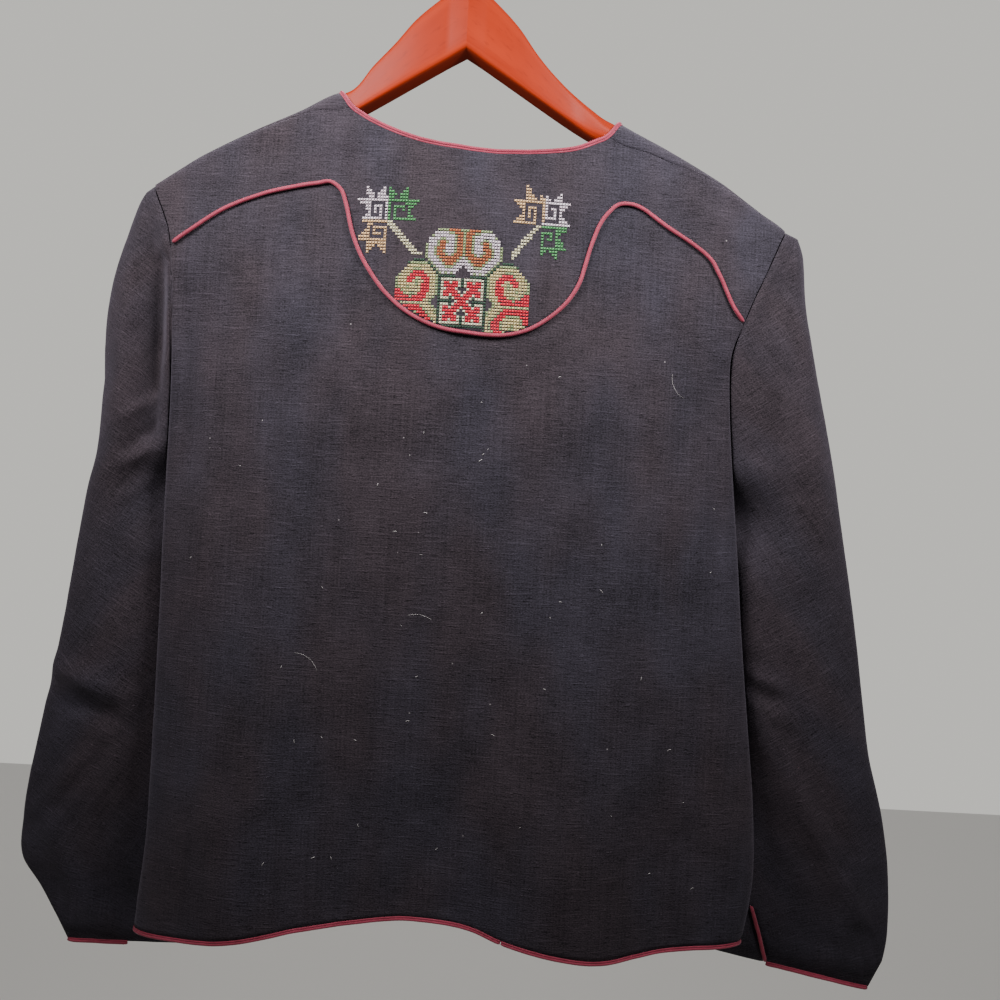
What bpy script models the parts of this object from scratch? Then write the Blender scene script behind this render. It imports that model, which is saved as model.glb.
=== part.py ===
"""Embroidered jacket on a wooden hanger: cut pieces, piping and hanger as separate solids.

The tables are in millimetres, +Z up; MM turns them to metres. The origin is the seat inside the
top of the hanger's hook. +Y is the way the wearer faces and +X the wearer's right, so the
jacket is seen from its back when looked at along +Y.
"""
import math
from collections import namedtuple

import bpy
import bmesh
from mathutils import Vector

MM = 0.001

# Driving dimensions
WALL = 1.6                  # cloth with its seam allowances pressed flat
SEAM_GAP = 0.3
ARMHOLE_GAP = 0.8           # across the armhole seam, which slants
PIPE_RADIUS = 1.5
ARM_FORWARD = 22.0          # how far the hanger's arms come forward at ARM_REACH
ARM_REACH = 230.0
RIDGE_RADIUS = 13.0         # the shoulder's fold over the hanger's arm, outside
BODY_HALF_DEPTH = 32.0
LOOSEN = 140.0              # drop over which the back falls away from the hanger
SIDE_POWER = 3.0            # how square the folded sides are
UNDERARM_Z = -400.0
ARMHOLE_TOP_Z = -250.0      # where the side starts to fold shut below the shoulder
SIDE_HALF_GAP = 0.22
CLEARANCE = 3.5             # sleeve to front panel
CORNER_HUB = 26.0           # inside the side's fold, the point it is rounded about
HANGER_CLEARANCE = 1.2      # under the cloth on the arms
HOOK_WIRE = 2.0
HOOK_RADIUS = 22.0          # to the middle of the wire
PIPE_LIFT = PIPE_RADIUS + SEAM_GAP + 0.2    # a cord's middle above the cloth it is sewn to
TUCK_ASIDE, TUCK_UNDER = 1.6, 1.2           # the under side of a cuff's vent
VENT_OVERLAP = 0.8          # how far the vent's cord reaches past its edge
HEAD_ROOM = 6.0             # from the shoulder's tip down to the sleeve's first ring
FRONT_HEM_Z = -746.0        # the front's hem at the middle; at the sides it meets the back's
FRONT_HEM_TURN = 0.6        # the share of the half width where it starts to follow the back's
HEM_HALF_WIDTH = 225.0
HEM_JOIN_X = 60.0           # where the two lengths of hem piping meet

# The eye from which the outlines were read, square to the jacket's back
EYE_X, EYE_Y, EYE_Z = 41.8, -800.0, -436.0

Ridge = namedtuple("Ridge", "x z")
Side = namedtuple("Side", "z left right")
Seam = namedtuple("Seam", "x z")
Shoulder = namedtuple("Shoulder", "x over")
NeckFront = namedtuple("NeckFront", "x over")
Flute = namedtuple("Flute", "x width out top")
Sleeve = namedtuple("Sleeve", "z outer outer_y back front inner crease bulge")
Arm = namedtuple("Arm", "x top height half power")

# The jacket's top line over the hanger, the same on both sides
RIDGE = (
    Ridge(0, -132), Ridge(60, -134), Ridge(95, -140), Ridge(121, -153), Ridge(156, -168.5),
    Ridge(195, -188), Ridge(211, -198), Ridge(228, -209), Ridge(247, -221), Ridge(263, -242),
)

# Armhole seams, then the folded sides
SIDES = (
    Side(-205, -233, 258), Side(-221, -226, 247), Side(-243, -216, 237), Side(-259, -212, 230.5),
    Side(-276, -210.5, 223), Side(-295, -209, 216), Side(-317, -209, 209), Side(-337, -209, 208.5),
    Side(-396, -210, 214.5), Side(-471, -209.5, 222.5), Side(-532, -208.5, 228.5),
    Side(-592, -208, 235.5), Side(-652, -208, 242.5), Side(-705, -209, 245.5),
    Side(-738, -212, 242), Side(-762, -214, 237),
)

# Yoke seam, read in the plane y = YOKE_READ_AT: left shoulder, curve under the neck, right shoulder
YOKE_READ_AT = -25.0
YOKE_LEFT = (
    Seam(-206, -266), Seam(-190, -254), Seam(-166, -238), Seam(-138, -226), Seam(-112, -219),
    Seam(-91, -215),
)
YOKE_CURVE = (
    Seam(-91, -215), Seam(-82, -222), Seam(-77, -238), Seam(-72, -255), Seam(-62, -274),
    Seam(-47, -293), Seam(-30, -306), Seam(-8, -315), Seam(16, -318), Seam(40, -318),
    Seam(60, -311), Seam(79, -296), Seam(90, -279), Seam(96, -256), Seam(104, -233), Seam(115, -221),
)
YOKE_RIGHT = (
    Seam(115, -221), Seam(129, -221), Seam(150, -234), Seam(182, -254), Seam(193, -269),
    Seam(203, -287), Seam(214, -302),
)

# Neck edge at the back, read in the plane y = NECK_READ_AT, from one shoulder seam to the other
NECK_READ_AT = -12.0
NECK_BACK = (
    Seam(-82, -156), Seam(-66, -165), Seam(-45, -173), Seam(-20, -179), Seam(20, -183),
    Seam(55, -182), Seam(84, -178), Seam(108, -168),
)

# Shoulder seams, how much cloth they lie behind the ridge, from armhole to neck
SHOULDER_LEFT = (
    Shoulder(-230, 6), Shoulder(-160, 9), Shoulder(-126, 13), Shoulder(-104, 18), Shoulder(-83, 23),
)
SHOULDER_RIGHT = (
    Shoulder(246, 6), Shoulder(205, 10), Shoulder(175, 15), Shoulder(156, 19), Shoulder(130, 22),
    Shoulder(109, 25),
)

# Neck edge beside and before the neck: cloth length over the ridge, minus in front of it
NECK_SIDE_LEFT = (NeckFront(-91, 10), NeckFront(-95, -5), NeckFront(-95, -28), NeckFront(-91, -50))
NECK_SIDE_RIGHT = (NeckFront(116, 10), NeckFront(120, -5), NeckFront(119, -28), NeckFront(115, -50))
NECK_FRONT_LEFT = (
    NeckFront(-91, -50), NeckFront(-80, -77), NeckFront(-58, -103), NeckFront(-25, -122),
    NeckFront(11.6, -130),
)
NECK_FRONT_RIGHT = (
    NeckFront(115, -50), NeckFront(104, -77), NeckFront(82, -103), NeckFront(49, -122),
    NeckFront(12.4, -130),
)

# The hem's height along the back, and the flutes that the cloth falls in
HEM = (
    Seam(-214, -757), Seam(-175, -757), Seam(-139, -753), Seam(-85, -743), Seam(-20, -738), Seam(36, -739),
    Seam(92, -748), Seam(140, -754), Seam(180, -750), Seam(215, -745), Seam(240, -744),
)
BACK_FLUTES = (
    Flute(-139, 48, 13, -420), Flute(-5, 62, -12, -430), Flute(92, 50, 11, -450), Flute(178, 34, -10, -540),
)
FRONT_FLUTES = (
    Flute(-110, 45, -9, -450), Flute(-30, 40, 8, -470), Flute(70, 45, 10, -440), Flute(150, 40, -8, -500),
)

# Sleeves, outlines read in the plane y = SLEEVE_READ_AT. crease and bulge are shares of the width
SLEEVE_READ_AT = 20.0
SLEEVE_LEFT = (
    Sleeve(-215, -236, 21, 15, 28, -200, .46, .76), Sleeve(-225, -240, 22, 12, 32, -200, .45, .75),
    Sleeve(-250, -245, 22, 10, 38, -200, .40, .72), Sleeve(-300, -255, 22, 6, 44, -200, .34, .68),
    Sleeve(-361, -262, 22, 5, 48, -200, .30, .68), Sleeve(-414, -265, 23, 7, 52, -200, .30, .70),
    Sleeve(-445, -271, 24, 8, 56, -182, .36, .74), Sleeve(-498, -278, 25, 9, 60, -165, .38, .76),
    Sleeve(-560, -286, 26, 9, 61, -154, .40, .76), Sleeve(-613, -295, 28, 11, 62, -150, .42, .76),
    Sleeve(-667, -304, 31, 15, 63, -152, .46, .77), Sleeve(-697, -307, 33, 21, 64, -154, .50, .78),
    Sleeve(-724, -305, 35, 27, 64, -156, .53, .80), Sleeve(-746, -290, 37, 32, 64, -152, .56, .81),
    Sleeve(-768, -277, 38, 34, 64, -148, .60, .82), Sleeve(-784, -268, 39, 35, 64, -146, .63, .83),
)
SLEEVE_RIGHT = (
    Sleeve(-225, 259, 22, 17, 28, 205, .46, .76), Sleeve(-244, 262, 24, 12, 34, 205, .44, .74),
    Sleeve(-280, 266, 24, 6, 42, 205, .36, .70), Sleeve(-310, 272, 24, 3, 46, 205, .32, .68),
    Sleeve(-348, 281, 24, 2, 48, 205, .30, .68), Sleeve(-400, 293, 24, 4, 52, 205, .32, .70),
    Sleeve(-438, 300, 25, 5, 56, 188, .34, .74), Sleeve(-505, 313, 26, 7, 60, 172, .36, .76),
    Sleeve(-566, 323, 28, 9, 61, 168, .36, .76), Sleeve(-615, 331, 30, 12, 62, 170, .34, .76),
    Sleeve(-659, 343, 32, 15, 63, 178, .32, .76), Sleeve(-701, 350, 34, 19, 64, 190, .30, .76),
    Sleeve(-746, 352, 36, 26, 64, 200, .32, .78), Sleeve(-773, 348, 38, 32, 64, 205, .37, .80),
    Sleeve(-790, 339, 39, 34, 64, 210, .41, .82),
)
SLEEVE_ROWS = (
    -214, -219, -225, -233, -244, -258, -276, -296, -317, -337, -360, -382, -400, -409, -420, -434, -455,
    -485, -525, -570, -612, -645, -674, -697, -719, -738, -754, -770,
)
SLEEVE_SAMPLES = 3          # spline samples from one of a row's nine points to the next
VENT_COLUMN = 2 * SLEEVE_SAMPLES
OUTER_COLUMN = 4 * SLEEVE_SAMPLES
VENT_ROW = -738

# Hanger body: arms ARM_FORWARD curved, the cloth's ridge sets their top beyond the neck
ARMS = (
    Arm(0, -61, 47, 11.5, 3.0), Arm(10, -64, 45.5, 11.5, 3.0), Arm(21, -72, 42, 11.5, 3.0),
    Arm(38, -87, 36.5, 11.5, 3.0), Arm(52, -104, 32, 11.3, 2.8), Arm(64, -117, 29, 11, 2.6),
    Arm(79, -133, 24, 10.5, 2.3), Arm(88, -140.5, 22, 9.8, 2.1), Arm(95, -144.5, 20.5, 9.6, 2.0),
    Arm(150, -168, 19.5, 9.6, 2.0), Arm(198, -193.4, 18, 9.3, 2.0), Arm(206, -200, 13, 8, 2.0),
    Arm(210, -204, 9, 6, 2.0), Arm(212, -207, 4, 3, 2.0),
)
ARM_STATIONS = (0, 5, 11, 21, 31, 42, 52, 63, 76, 88, 98, 110, 121, 138, 156, 175, 190, 198, 206, 210, 212)
HANGER_SIDES = 12

# Colours, linear
CLOTH_COLOUR = (0.012, 0.010, 0.012, 1.0)
PIPING_COLOUR = (0.33, 0.012, 0.035, 1.0)
WOOD_COLOUR = (0.36, 0.075, 0.018, 1.0)
STEEL_COLOUR = (0.55, 0.55, 0.56, 1.0)


def read(table, key, value, at):
    """A smooth curve through one column of a table, by another that rises or falls throughout."""
    rows = sorted(table, key=lambda row: getattr(row, key))
    keys = [getattr(row, key) for row in rows]
    values = [getattr(row, value) for row in rows]
    if at <= keys[0]:
        return values[0]
    if at >= keys[-1]:
        return values[-1]
    i = max(k for k in range(len(keys) - 1) if keys[k] <= at)

    def slope(k):
        low, high = max(k - 1, 0), min(k + 1, len(keys) - 1)
        return (values[high] - values[low]) / (keys[high] - keys[low])

    span = keys[i + 1] - keys[i]
    t = (at - keys[i]) / span
    start = (2 * t ** 3 - 3 * t ** 2 + 1) * values[i] + (t ** 3 - 2 * t ** 2 + t) * span * slope(i)
    end = (3 * t ** 2 - 2 * t ** 3) * values[i + 1] + (t ** 3 - t ** 2) * span * slope(i + 1)
    return start + end


def mix(a, b, t):
    return a + (b - a) * t


def ease(t):
    t = min(max(t, 0.0), 1.0)
    return t * t * (3 - 2 * t)


def ridge(x):
    return read(RIDGE, "x", "z", abs(x))


def arm_curve(x):
    return ARM_FORWARD * (abs(x) / ARM_REACH) ** 1.2


def middle_y(x, z):
    """The jacket's middle plane: forward with the hanger's arms, less so lower down."""
    return arm_curve(x) * mix(1.0, 0.55, ease((-250 - z) / 450))


def half_depth(drop):
    if drop < RIDGE_RADIUS:
        return math.sqrt(max(2 * RIDGE_RADIUS * drop - drop * drop, 0.0))
    return RIDGE_RADIUS + (BODY_HALF_DEPTH - RIDGE_RADIUS) * (1 - math.exp((RIDGE_RADIUS - drop) / LOOSEN))


def drop_over(over):
    """How far below the ridge a point lies that is this length of cloth away from it."""
    quarter = RIDGE_RADIUS * math.pi / 2
    if abs(over) < quarter:
        return RIDGE_RADIUS * (1 - math.cos(over / RIDGE_RADIUS))
    return RIDGE_RADIUS + abs(over) - quarter


def over_for(drop):
    if drop < RIDGE_RADIUS:
        return RIDGE_RADIUS * math.acos(1 - drop / RIDGE_RADIUS)
    return RIDGE_RADIUS * math.pi / 2 + drop - RIDGE_RADIUS


def side_x(z, across):
    left = read(SIDES, "z", "left", z)
    right = read(SIDES, "z", "right", z)
    return mix(left, right, (across + 1) / 2)


def across_of(x, z):
    left = read(SIDES, "z", "left", z)
    right = read(SIDES, "z", "right", z)
    return 2 * (x - left) / (right - left) - 1


def flutes(x, z, table):
    total = 0.0
    for flute in table:
        grown = ease((flute.top - z) / 300)
        total += flute.out * grown * math.exp(-((x - flute.x) / flute.width) ** 2)
    return total


def closing(z):
    return ease((ARMHOLE_TOP_Z - z) / (ARMHOLE_TOP_Z - UNDERARM_Z))


def face_y(x, z, face):
    """The outer surface of the back (face -1) or the front (face +1) at a place seen square on."""
    across = min(abs(across_of(x, z)), 1.0)
    fold = (1 - across ** SIDE_POWER) ** (1 / SIDE_POWER)
    round_off = 1 - closing(z) * (1 - fold)
    out = half_depth(ridge(x) - z) + flutes(x, z, BACK_FLUTES if face < 0 else FRONT_FLUTES)
    return middle_y(x, z) + face * (out * round_off + SIDE_HALF_GAP * closing(z))


def wrapped_point(across, over):
    """A point of the jacket by its cloth length over the shoulder, plus at the back."""
    x, z = across * 220.0, -200.0
    for _ in range(12):
        z = ridge(x) - drop_over(over)
        x = side_x(z, across)
    return Vector((x, face_y(x, z, -1 if over > 0 else 1), z))


def sighted(seam, read_at, face):
    """Slide a point read in a plane along its sight line onto the cloth."""
    y = read_at
    for _ in range(8):
        k = (y - EYE_Y) / (read_at - EYE_Y)
        x = EYE_X + (seam.x - EYE_X) * k
        z = EYE_Z + (seam.z - EYE_Z) * k
        y = face_y(x, z, face)
    return x, z


def spline(points, t):
    """Catmull-Rom through the points; t counts them."""
    i = min(int(t), len(points) - 2)
    u = t - i
    p1, p2 = points[i], points[i + 1]
    p0 = points[i - 1] if i > 0 else 2 * p1 - p2
    p3 = points[i + 2] if i + 2 < len(points) else 2 * p2 - p1
    return 0.5 * (2 * p1 + (p2 - p0) * u + (2 * p0 - 5 * p1 + 4 * p2 - p3) * u * u
                  + (3 * p1 - p0 - 3 * p2 + p3) * u ** 3)


def spaced(points, shares):
    """Points at shares of a smooth curve's length."""
    fine = [spline(points, k * (len(points) - 1) / 200) for k in range(201)]
    lengths = [0.0]
    for a, b in zip(fine, fine[1:]):
        lengths.append(lengths[-1] + (b - a).length)
    found = []
    for share in shares:
        target = share * lengths[-1]
        k = max(i for i in range(200) if lengths[i] <= target + 1e-9)
        t = (target - lengths[k]) / max(lengths[k + 1] - lengths[k], 1e-9)
        found.append(fine[k].lerp(fine[k + 1], min(t, 1.0)))
    return found


def sidestep(path, distance):
    """Move a flat path sideways: plus is to its right when it runs toward +X."""
    moved = []
    for i, point in enumerate(path):
        along = (path[min(i + 1, len(path) - 1)] - path[max(i - 1, 0)]).normalized()
        moved.append(point + Vector((along.y, -along.x)) * distance)
    return moved


# Columns: shares of a shoulder's width from the armhole inward, one close to the edge
SHOULDER_SHARES = (0, 0.004, 0.05, 0.12, 0.21, 0.32, 0.44, 0.57, 0.71, 0.86, 1)
CURVE_SHARES = [k / 20 for k in range(21)]
EDGE_ACROSS = 0.5           # the share of the half width where the shoulder columns end at the hem


def fold_across():
    """Columns at the hem from a side's fold inward, close together where it folds."""
    inner = math.degrees(math.asin(EDGE_ACROSS ** (SIDE_POWER / 2)))
    return [math.sin(math.radians(mix(90, inner, f))) ** (2 / SIDE_POWER) for f in SHOULDER_SHARES]


def hem_across():
    """Columns at the back's hem, from the left side's fold to the right's."""
    turned = fold_across()
    middle = [mix(-EDGE_ACROSS, EDGE_ACROSS, f) for f in CURVE_SHARES]
    return [-t for t in turned] + middle[1:-1] + list(reversed(turned))


def front_hem_across():
    """Columns at a front's hem, from the side's fold to the centre."""
    middle = [mix(EDGE_ACROSS, CENTRE_HALF_GAP / HEM_HALF_WIDTH, f) for f in FRONT_NECK_SHARES]
    return fold_across() + middle[1:]


def seen_path(table, read_at, shares):
    """A curve of the table's points laid on the back, seen square on."""
    return spaced([Vector(sighted(seam, read_at, -1)) for seam in table], shares)


def yoke_seam():
    """The yoke seam from armhole to armhole, seen square on."""
    left = seen_path(YOKE_LEFT, YOKE_READ_AT, SHOULDER_SHARES)
    curve = seen_path(YOKE_CURVE, YOKE_READ_AT, CURVE_SHARES)
    right = seen_path(YOKE_RIGHT, YOKE_READ_AT, [1 - f for f in reversed(SHOULDER_SHARES)])
    return left + curve[1:-1] + right


def neck_back():
    return seen_path(NECK_BACK, NECK_READ_AT, CURVE_SHARES)


def shoulder_seam(side, offset):
    """The shoulder seam from armhole to neck as (x, cloth length behind the ridge)."""
    table = SHOULDER_LEFT if side < 0 else SHOULDER_RIGHT
    corner = neck_back()[0 if side < 0 else -1]
    corner_across = across_of(corner.x, corner.y)
    corner_over = over_for(ridge(corner.x) - corner.y)
    seam = []
    for share in SHOULDER_SHARES:
        across = mix(side, corner_across, share)
        x = side_x(corner.y, across)
        for _ in range(8):
            over = mix(read(table, "x", "over", x), corner_over, ease((share - 0.8) / 0.2)) + offset
            x = side_x(ridge(x) - drop_over(over), across)
        seam.append(Vector((x, over)))
    return seam


def acrosses(path):
    """Each point's share across the back, stretched so that the path ends at the armholes."""
    plain = [across_of(p.x, p.y) for p in path]
    return [2 * (a - plain[0]) / (plain[-1] - plain[0]) - 1 for a in plain]


def back_grid(top, bottom, shares):
    """Rows of points between two paths seen square on, laid on the back."""
    grid = []
    for share in shares:
        row = []
        for a, b, across_a, across_b in zip(top, bottom, acrosses(top), acrosses(bottom)):
            across, z = mix(across_a, across_b, share), mix(a.y, b.y, share)
            x = mix(mix(a.x, b.x, share), side_x(z, across), across ** 4)
            row.append(Vector((x, face_y(x, z, -1), z)))
        grid.append(row)
    return grid


def hem_line():
    path = []
    for across in hem_across():
        z = -750.0
        for _ in range(4):
            z = read(HEM, "x", "z", side_x(z, across))
        path.append(Vector((side_x(z, across), z)))
    return path


BACK_SHARES = (0, 0.03, 0.07, 0.13, 0.2, 0.28, 0.37, 0.46, 0.56, 0.66, 0.75, 0.84, 0.92, 1)
YOKE_SHARES = (0, 0.08, 0.2, 0.36, 0.54, 0.76, 1)


def back_panel_grid():
    seam = sidestep(yoke_seam(), SEAM_GAP / 2)
    hem = hem_line()
    return back_grid(seam, hem, BACK_SHARES)


def back_yoke_grid():
    seam = sidestep(yoke_seam(), -SEAM_GAP / 2)
    left = [Vector((p.x, ridge(p.x) - drop_over(p.y))) for p in shoulder_seam(-1, SEAM_GAP * 0.8)]
    right = [Vector((p.x, ridge(p.x) - drop_over(p.y))) for p in shoulder_seam(1, SEAM_GAP * 0.8)]
    top = left + neck_back()[1:-1] + list(reversed(right))
    return back_grid(top, seam, YOKE_SHARES)


NECK_SIDE_SHARES = (0, 0.1, 0.19, 0.28, 0.37, 0.46, 0.56, 0.77, 1)
FRONT_SHARES = (0, 0.04, 0.08, 0.12, 0.17, 0.23, 0.31, 0.41, 0.53, 0.68, 0.84, 1)
FRONT_NECK_SHARES = [k / 9 for k in range(10)]
CENTRE_HALF_GAP = 0.4


def front_grid(neck_side, neck_front, side):
    """A front, from its shoulder seam over the ridge and down; side is -1 left or +1 right.

    The upper rows end at the side of the neck, the lower ones run on to the centre.
    """
    seam = shoulder_seam(side, -SEAM_GAP * 0.8)
    corner = NeckFront(seam[-1].x, seam[-1].y)
    neck_side = (corner,) + neck_side
    block_end = neck_side[-1].over
    neck_curve = spaced([Vector((n.x, n.over)) for n in neck_front], FRONT_NECK_SHARES)
    hems = [side * across for across in front_hem_across()]
    grid = []
    for share in NECK_SIDE_SHARES:
        row = []
        for place, shoulder_share in zip(seam, SHOULDER_SHARES):
            over = mix(place.y, block_end, share)
            neck_over = mix(corner.over, block_end, share)
            x = read(neck_side, "over", "x", neck_over)
            neck_across = side * across_of(x, ridge(x) - drop_over(neck_over))
            row.append(wrapped_point(side * mix(1.0, neck_across, shoulder_share), over))
        grid.append(row + [None] * (len(neck_curve) - 1))
    tops = [(abs(across_of(p.x, p.z)) if j else 1.0, block_end) for j, p in enumerate(grid[-1][:len(seam)])]
    for place in neck_curve[1:]:
        tops.append((side * across_of(place.x, ridge(place.x) - drop_over(place.y)), place.y))
    for share in FRONT_SHARES:
        row = []
        for (across, over), hem in zip(tops, hems):
            x_hem = side_x(FRONT_HEM_Z, hem)
            turned = ease((abs(hem) - FRONT_HEM_TURN) / (1 - FRONT_HEM_TURN))
            z_hem = mix(FRONT_HEM_Z, read(HEM, "x", "z", x_hem), turned)
            over_hem = -over_for(ridge(x_hem) - z_hem)
            row.append(wrapped_point(mix(side * across, hem, share), mix(over, over_hem, share)))
        if share == 0:
            grid[-1] = row
        else:
            grid.append(row)
    return grid


def outside_front(spot, z, side, clearance):
    """Move a point that is inside the jacket, or too near it, out past its fold or its front."""
    left = read(SIDES, "z", "left", z) - clearance
    right = read(SIDES, "z", "right", z) + clearance

    def reach(place):
        across = abs(2 * (place.x - left) / (right - left) - 1)
        out = half_depth(ridge(place.x) - z) + flutes(place.x, z, FRONT_FLUTES) + clearance
        return across ** SIDE_POWER + (abs(place.y - middle_y(place.x, z)) / out) ** SIDE_POWER

    hub = Vector((side_x(z, side) - side * CORNER_HUB, 0))
    hub.y = middle_y(hub.x, z)
    if side * (spot.x - hub.x) < 0:
        hub.x = spot.x
    away = spot - hub
    if away.y < 0 and hub.x == spot.x:
        away.y = 1.0
    scale = 1.0
    while reach(hub + away * scale) < 1:
        scale *= 1.004
    return hub + away * scale


def sleeve_row(table, z_read, side):
    """Nine points round a sleeve at one height, from the back seam or inner fold round outside."""
    outer_y = read(table, "z", "outer_y", z_read)
    k = (outer_y - EYE_Y) / (SLEEVE_READ_AT - EYE_Y)
    z = EYE_Z + (z_read - EYE_Z) * k
    outer = EYE_X + (read(table, "z", "outer", z_read) - EYE_X) * k
    inner = read(table, "z", "inner", z_read)
    back = read(table, "z", "back", z_read)
    front = read(table, "z", "front", z_read)
    crease = read(table, "z", "crease", z_read)
    bulge = read(table, "z", "bulge", z_read)
    edge = side_x(z, side) + side * ARMHOLE_GAP
    back_edge = face_y(side_x(z, side), z, -1)
    front_edge = face_y(side_x(z, side), z, 1)
    width = outer - edge
    valley = (12.0 if side < 0 else 5.0) * ease((abs(width) - 20) / 35) * (1 - closing(z))
    turn = math.pi / 2 * closing(z)
    lead = min(4.5, abs(width) * 0.22)
    out, aside = side * lead * math.cos(turn), lead * math.sin(turn)
    joined = [
        Vector((edge, back_edge)),
        Vector((edge + out, back_edge - aside)),
        Vector((edge + width * crease, mix(back_edge - aside, back, 0.5) + valley)),
        Vector((edge + width * bulge, back)),
        Vector((outer, outer_y)),
        Vector((edge + width * 0.74, front - 3)),
        Vector((edge + width * 0.42, mix(front_edge, front, 0.7))),
        Vector((edge + out, front_edge + aside)),
        Vector((edge, front_edge)),
    ]
    width = outer - inner
    inner_back = face_y(inner, z, 1) + CLEARANCE
    inner_y = (inner_back + front + 4) / 2
    hanging = [
        Vector((inner, inner_y)),
        Vector((inner + width * 0.08, inner_back + 1)),
        Vector((inner + width * crease, mix(back, inner_back, 0.4))),
        Vector((inner + width * bulge, back)),
        Vector((outer, outer_y)),
        Vector((inner + width * 0.76, front - 4)),
        Vector((inner + width * 0.42, front + 2)),
        Vector((inner + width * 0.08, front + 3)),
        Vector((inner, inner_y)),
    ]
    inward = ease((UNDERARM_Z - 22 - z) / 70)
    forward = ease((UNDERARM_Z - z) / 45)
    points = [Vector((mix(a.x, b.x, inward), mix(a.y, b.y, forward))) for a, b in zip(joined, hanging)]
    return z, points


def sleeve_grid(table, side, tip, cuff_z, cuff_rise):
    """Rows of points down a sleeve. The tip is the armhole's point on the shoulder's ridge."""
    samples = 8 * SLEEVE_SAMPLES
    grid = [[Vector((tip[0] + side * 1.0, arm_curve(tip[0]), tip[1] - 0.4))] * (samples + 1)]
    for z_read in SLEEVE_ROWS + (cuff_z,):
        z, points = sleeve_row(table, z_read, side)
        if z > tip[1] - HEAD_ROOM:
            continue
        clearance = mix(ARMHOLE_GAP, CLEARANCE, ease((UNDERARM_Z - z) / 30))
        edge = side_x(z, side) + side * ARMHOLE_GAP
        sag = ease((-650 - z) / 120) * cuff_rise
        row = []
        for k in range(samples + 1):
            spot = spline(points, k / SLEEVE_SAMPLES)
            if z > UNDERARM_Z - 1:
                spot.x = side * max(side * spot.x, side * edge)
            else:
                spot = outside_front(spot, z, side, clearance)
            inside = (spot.x - points[4].x) / (points[0].x - points[4].x)
            row.append(Vector((spot.x, spot.y, z + sag * inside)))
        grid.append(row)
    return grid


def cloth_normal(point):
    """The outward normal of the jacket's body at one of its points."""
    x, z = point.x, point.z
    back = point.y < middle_y(x, z)
    over = over_for(max(ridge(x) - z, 0.0)) * (1 if back else -1)
    across = min(max(across_of(x, z), -1.0), 1.0)
    sideways = wrapped_point(min(across + 0.004, 1.0), over) - wrapped_point(max(across - 0.004, -1.0), over)
    along = wrapped_point(across, over - 0.4) - wrapped_point(across, over + 0.4)
    if closing(z) > 0.2 and abs(across) > 0.9995:
        return Vector((math.copysign(1.0, across), 0, 0))
    return sideways.cross(along).normalized()


def wall(name, grid, outward, look, normal=None, closed_from=None, slit=None):
    """A cloth wall whose outer face is the grid of points. outward points out of its middle face.

    normal gives the direction of the thickness at a point. closed_from is the row from which the
    first and last columns are one, slit the (row, column) from which a column is cut open and its
    inner side tucked under.
    """
    shape = bmesh.new()
    last = len(grid[0]) - 1
    corners = {}

    def corner(i, j, right_hand):
        if closed_from is not None and i >= closed_from and j == last:
            j = 0
        if i == 0 and grid[0][0] == grid[0][last]:
            j = 0
        cut = slit is not None and i > slit[0] and j == slit[1] and not right_hand
        key = (i, j, cut)
        if key not in corners:
            place = grid[i][j].copy()
            if cut:
                tuck = grid[i][j - 1] - grid[i][j]
                place += tuck.normalized() * TUCK_ASIDE + Vector((0, TUCK_UNDER, 0))
            corners[key] = shape.verts.new(place)
        return corners[key]

    for i in range(len(grid) - 1):
        for j in range(last):
            if None in (grid[i][j], grid[i][j + 1]):
                continue
            loop = []
            for vert in (corner(i, j, True), corner(i + 1, j, True),
                         corner(i + 1, j + 1, False), corner(i, j + 1, False)):
                if vert not in loop:
                    loop.append(vert)
            if len(loop) > 2:
                shape.faces.new(loop)
    shape.faces.ensure_lookup_table()
    shape.normal_update()
    probe = shape.faces[len(shape.faces) // 2]
    if probe.normal.dot(outward(probe.calc_center_median())) < 0:
        bmesh.ops.reverse_faces(shape, faces=shape.faces)
        shape.normal_update()

    bmesh.ops.triangulate(shape, faces=shape.faces, quad_method="SHORT_EDGE")
    inner = {}
    for vert in list(shape.verts):
        direction = normal(vert.co) if normal else vert.normal
        inner[vert] = shape.verts.new(vert.co - direction * WALL)
    rims = [loop for face in shape.faces for loop in face.loops if loop.edge.is_boundary]
    rims = [(loop.vert, loop.link_loop_next.vert) for loop in rims]
    for face in list(shape.faces):
        shape.faces.new([inner[vert] for vert in reversed(face.verts)])
    for a, b in rims:
        shape.faces.new((b, a, inner[a], inner[b]))
    bmesh.ops.scale(shape, vec=(MM, MM, MM), verts=shape.verts)
    mesh = bpy.data.meshes.new(name)
    shape.to_mesh(mesh)
    shape.free()
    return add(name, mesh, look)


def add(name, data, look):
    piece = bpy.data.objects.new(name, data)
    bpy.context.collection.objects.link(piece)
    data.materials.append(look)
    if isinstance(data, bpy.types.Mesh):
        data.shade_smooth()
    return piece


def material(name, colour, roughness, metallic):
    made = bpy.data.materials.new(name)
    made.use_nodes = True
    shader = made.node_tree.nodes["Principled BSDF"]
    shader.inputs["Base Color"].default_value = colour
    shader.inputs["Roughness"].default_value = roughness
    shader.inputs["Metallic"].default_value = metallic
    return made


def thinned(points, least):
    """Drop points that lie closer than this to the one before, keeping both ends."""
    kept = [points[0]]
    for point in points[1:-1]:
        if (point - kept[-1]).length >= least and (points[-1] - point).length >= least:
            kept.append(point)
    kept.append(points[-1])
    return kept


def along_edge(edge, inner):
    """The route of a cord beyond a panel's edge; inner is the panel's next row of points."""
    route = []
    for i, point in enumerate(edge):
        ahead = edge[min(i + 1, len(edge) - 1)]
        behind = edge[max(i - 1, 0)]
        along = (ahead - behind).normalized()
        beyond = point - inner[i]
        beyond -= along * beyond.dot(along)
        route.append(point + beyond.normalized() * PIPE_LIFT)
    return route


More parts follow.
